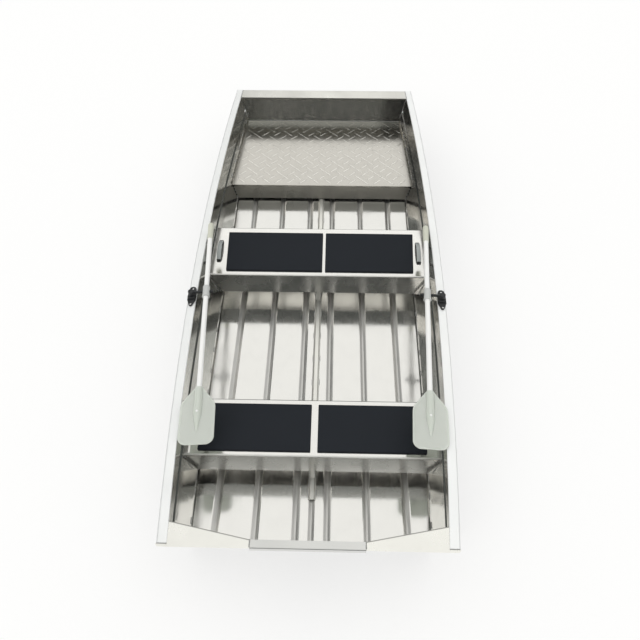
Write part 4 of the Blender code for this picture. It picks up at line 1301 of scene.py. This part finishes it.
def light_studio(scene, stage):
    """An even dome for matt things, and for gloss a bright ceiling between darker walls."""
    world = bpy.data.worlds.new("studio")
    scene.world = world
    world.use_nodes = True
    graph = Graph(world.node_tree)
    ray = graph.axes(graph.add("ShaderNodeTexCoord").outputs["Generated"])
    up = graph.calc("MAXIMUM", ray["Z"], HORIZON)
    to_port = graph.times(graph.calc("MINIMUM", ray["X"], 0.0), -stage.port_shade)
    across = graph.calc("DIVIDE", graph.plus(graph.calc("ABSOLUTE", ray["X"]), to_port), up)
    along = graph.calc("DIVIDE", ray["Y"], up)

    # The ceiling narrows ahead and ends behind; past the bow it is brighter
    spread = graph.plus(across, graph.times(graph.calc("MAXIMUM", along, 0.0), CEILING_NARROWS))
    middle = graph.ramp(spread, *CEILING_SIDES, 1.0, 0.0, "SMOOTHSTEP")
    behind = graph.ramp(along, *CEILING_BACK, 0.0, 1.0, "SMOOTHSTEP")
    ceiling = graph.ramp(along, *CEILING_AHEAD, stage.overhead, stage.ahead, "SMOOTHSTEP")
    strip = graph.times(middle, behind)
    light = graph.plus(graph.times(strip, ceiling), graph.times(graph.minus(1.0, strip), stage.walls))

    # Rays from the camera and from matt surfaces see the dome instead
    path = graph.add("ShaderNodeLightPath")
    soft = graph.calc("MAXIMUM", path.outputs["Is Camera Ray"], path.outputs["Is Diffuse Ray"])
    shown = graph.plus(graph.times(soft, stage.dome), graph.times(graph.minus(1.0, soft), light))
    hue = graph.blend(graph.calc("MAXIMUM", strip, soft), colour(DARK_HUE), colour(BRIGHT_HUE))
    back = world.node_tree.nodes["Background"]
    graph.feed(back.inputs["Color"], hue)
    graph.feed(back.inputs["Strength"], shown)

    lamp = bpy.data.lights.new("key_light", "SUN")
    lamp.energy = stage.key
    lamp.angle = KEY_SPREAD
    lamp.color = KEY_HUE
    key = bpy.data.objects.new("key_light", lamp)
    scene.collection.objects.link(key)
    key.rotation_euler = Vector(KEY_DIRECTION).to_track_quat("-Z", "Y").to_euler()


def aim_camera(scene, stage):
    """The photograph's own viewpoint, level and field of view."""
    level = math.cos(CAMERA_PITCH)
    ahead = Vector((math.sin(CAMERA_YAW) * level, math.cos(CAMERA_YAW) * level, -math.sin(CAMERA_PITCH)))
    right = Vector((math.cos(CAMERA_YAW), -math.sin(CAMERA_YAW), 0.0))
    up = right.cross(ahead)
    across = math.cos(CAMERA_ROLL) * right + math.sin(CAMERA_ROLL) * up
    upright = -math.sin(CAMERA_ROLL) * right + math.cos(CAMERA_ROLL) * up
    lens = bpy.data.cameras.new("camera")
    lens.lens = stage.lens
    lens.sensor_width = 36.0
    lens.clip_end = 200.0
    camera = bpy.data.objects.new("camera", lens)
    scene.collection.objects.link(camera)
    turned = Matrix((across, upright, -ahead)).transposed().to_4x4()
    camera.matrix_world = Matrix.Translation(CAMERA_PLACE) @ turned
    scene.camera = camera


class BOAT_PT_looks(bpy.types.Panel):
    """Lists the boat's pieces and their sizes"""

    bl_idname = "BOAT_PT_looks"
    bl_label = "Jon boat"
    bl_space_type = "VIEW_3D"
    bl_region_type = "UI"
    bl_category = "Jon boat"

    def draw(self, context):
        for group, fields, operators in PANEL_ROWS:
            box = self.layout.box()
            settings = getattr(context.scene, group)
            for field in fields:
                box.prop(settings, field)
            for name in operators:
                box.operator(name)


PANEL_ROWS = (
    # settings, their fields, the operators that use them
    ("boat_metal",
     ("sheet_tint", "sheet_roughness", "extrusion_tint", "corner_tint", "cap_tint", "bow_tint", "tread_tint",
      "bar_highlight_tint", "cell", "bar_length", "bar_width", "bar_height"),
     ("boat.finishes", "boat.treadplate")),
    ("boat_welds", ("bead_radius", "ripple"), ("boat.welds",)),
    ("boat_seats", ("pad_colour", "crown"), ("boat.pads", "boat.handles")),
    ("boat_oars", ("blade_colour", "grip_colour", "rim_height"), ("boat.oars", "boat.oarlocks")),
    ("boat_stage",
     ("floor_colour", "floor_glow", "dome", "overhead", "ahead", "walls", "port_shade", "key", "lens"),
     ("boat.stage",)),
)

SETTINGS = (
    ("boat_metal", BoatMetalSettings),
    ("boat_welds", BoatWeldSettings),
    ("boat_seats", BoatSeatSettings),
    ("boat_oars", BoatOarSettings),
    ("boat_stage", BoatStageSettings),
)

OTHER_CLASSES = (BOAT_OT_finishes, BOAT_OT_treadplate, BOAT_OT_welds, BOAT_OT_pads, BOAT_OT_handles,
                 BOAT_OT_oars, BOAT_OT_oarlocks, BOAT_OT_stage, BOAT_PT_looks)


def register():
    for name, group in SETTINGS:
        bpy.utils.register_class(group)
        setattr(bpy.types.Scene, name, PointerProperty(type=group))
    for item in OTHER_CLASSES:
        bpy.utils.register_class(item)


def unregister():
    for item in reversed(OTHER_CLASSES):
        bpy.utils.unregister_class(item)
    for name, group in reversed(SETTINGS):
        delattr(bpy.types.Scene, name)
        bpy.utils.unregister_class(group)


def main():
    register()
    bpy.ops.boat.finishes()
    bpy.ops.boat.treadplate()
    bpy.ops.boat.welds()
    bpy.ops.boat.pads()
    bpy.ops.boat.handles()
    bpy.ops.boat.oars()
    bpy.ops.boat.oarlocks()
    bpy.ops.boat.stage()


if __name__ == "__main__":
    main()
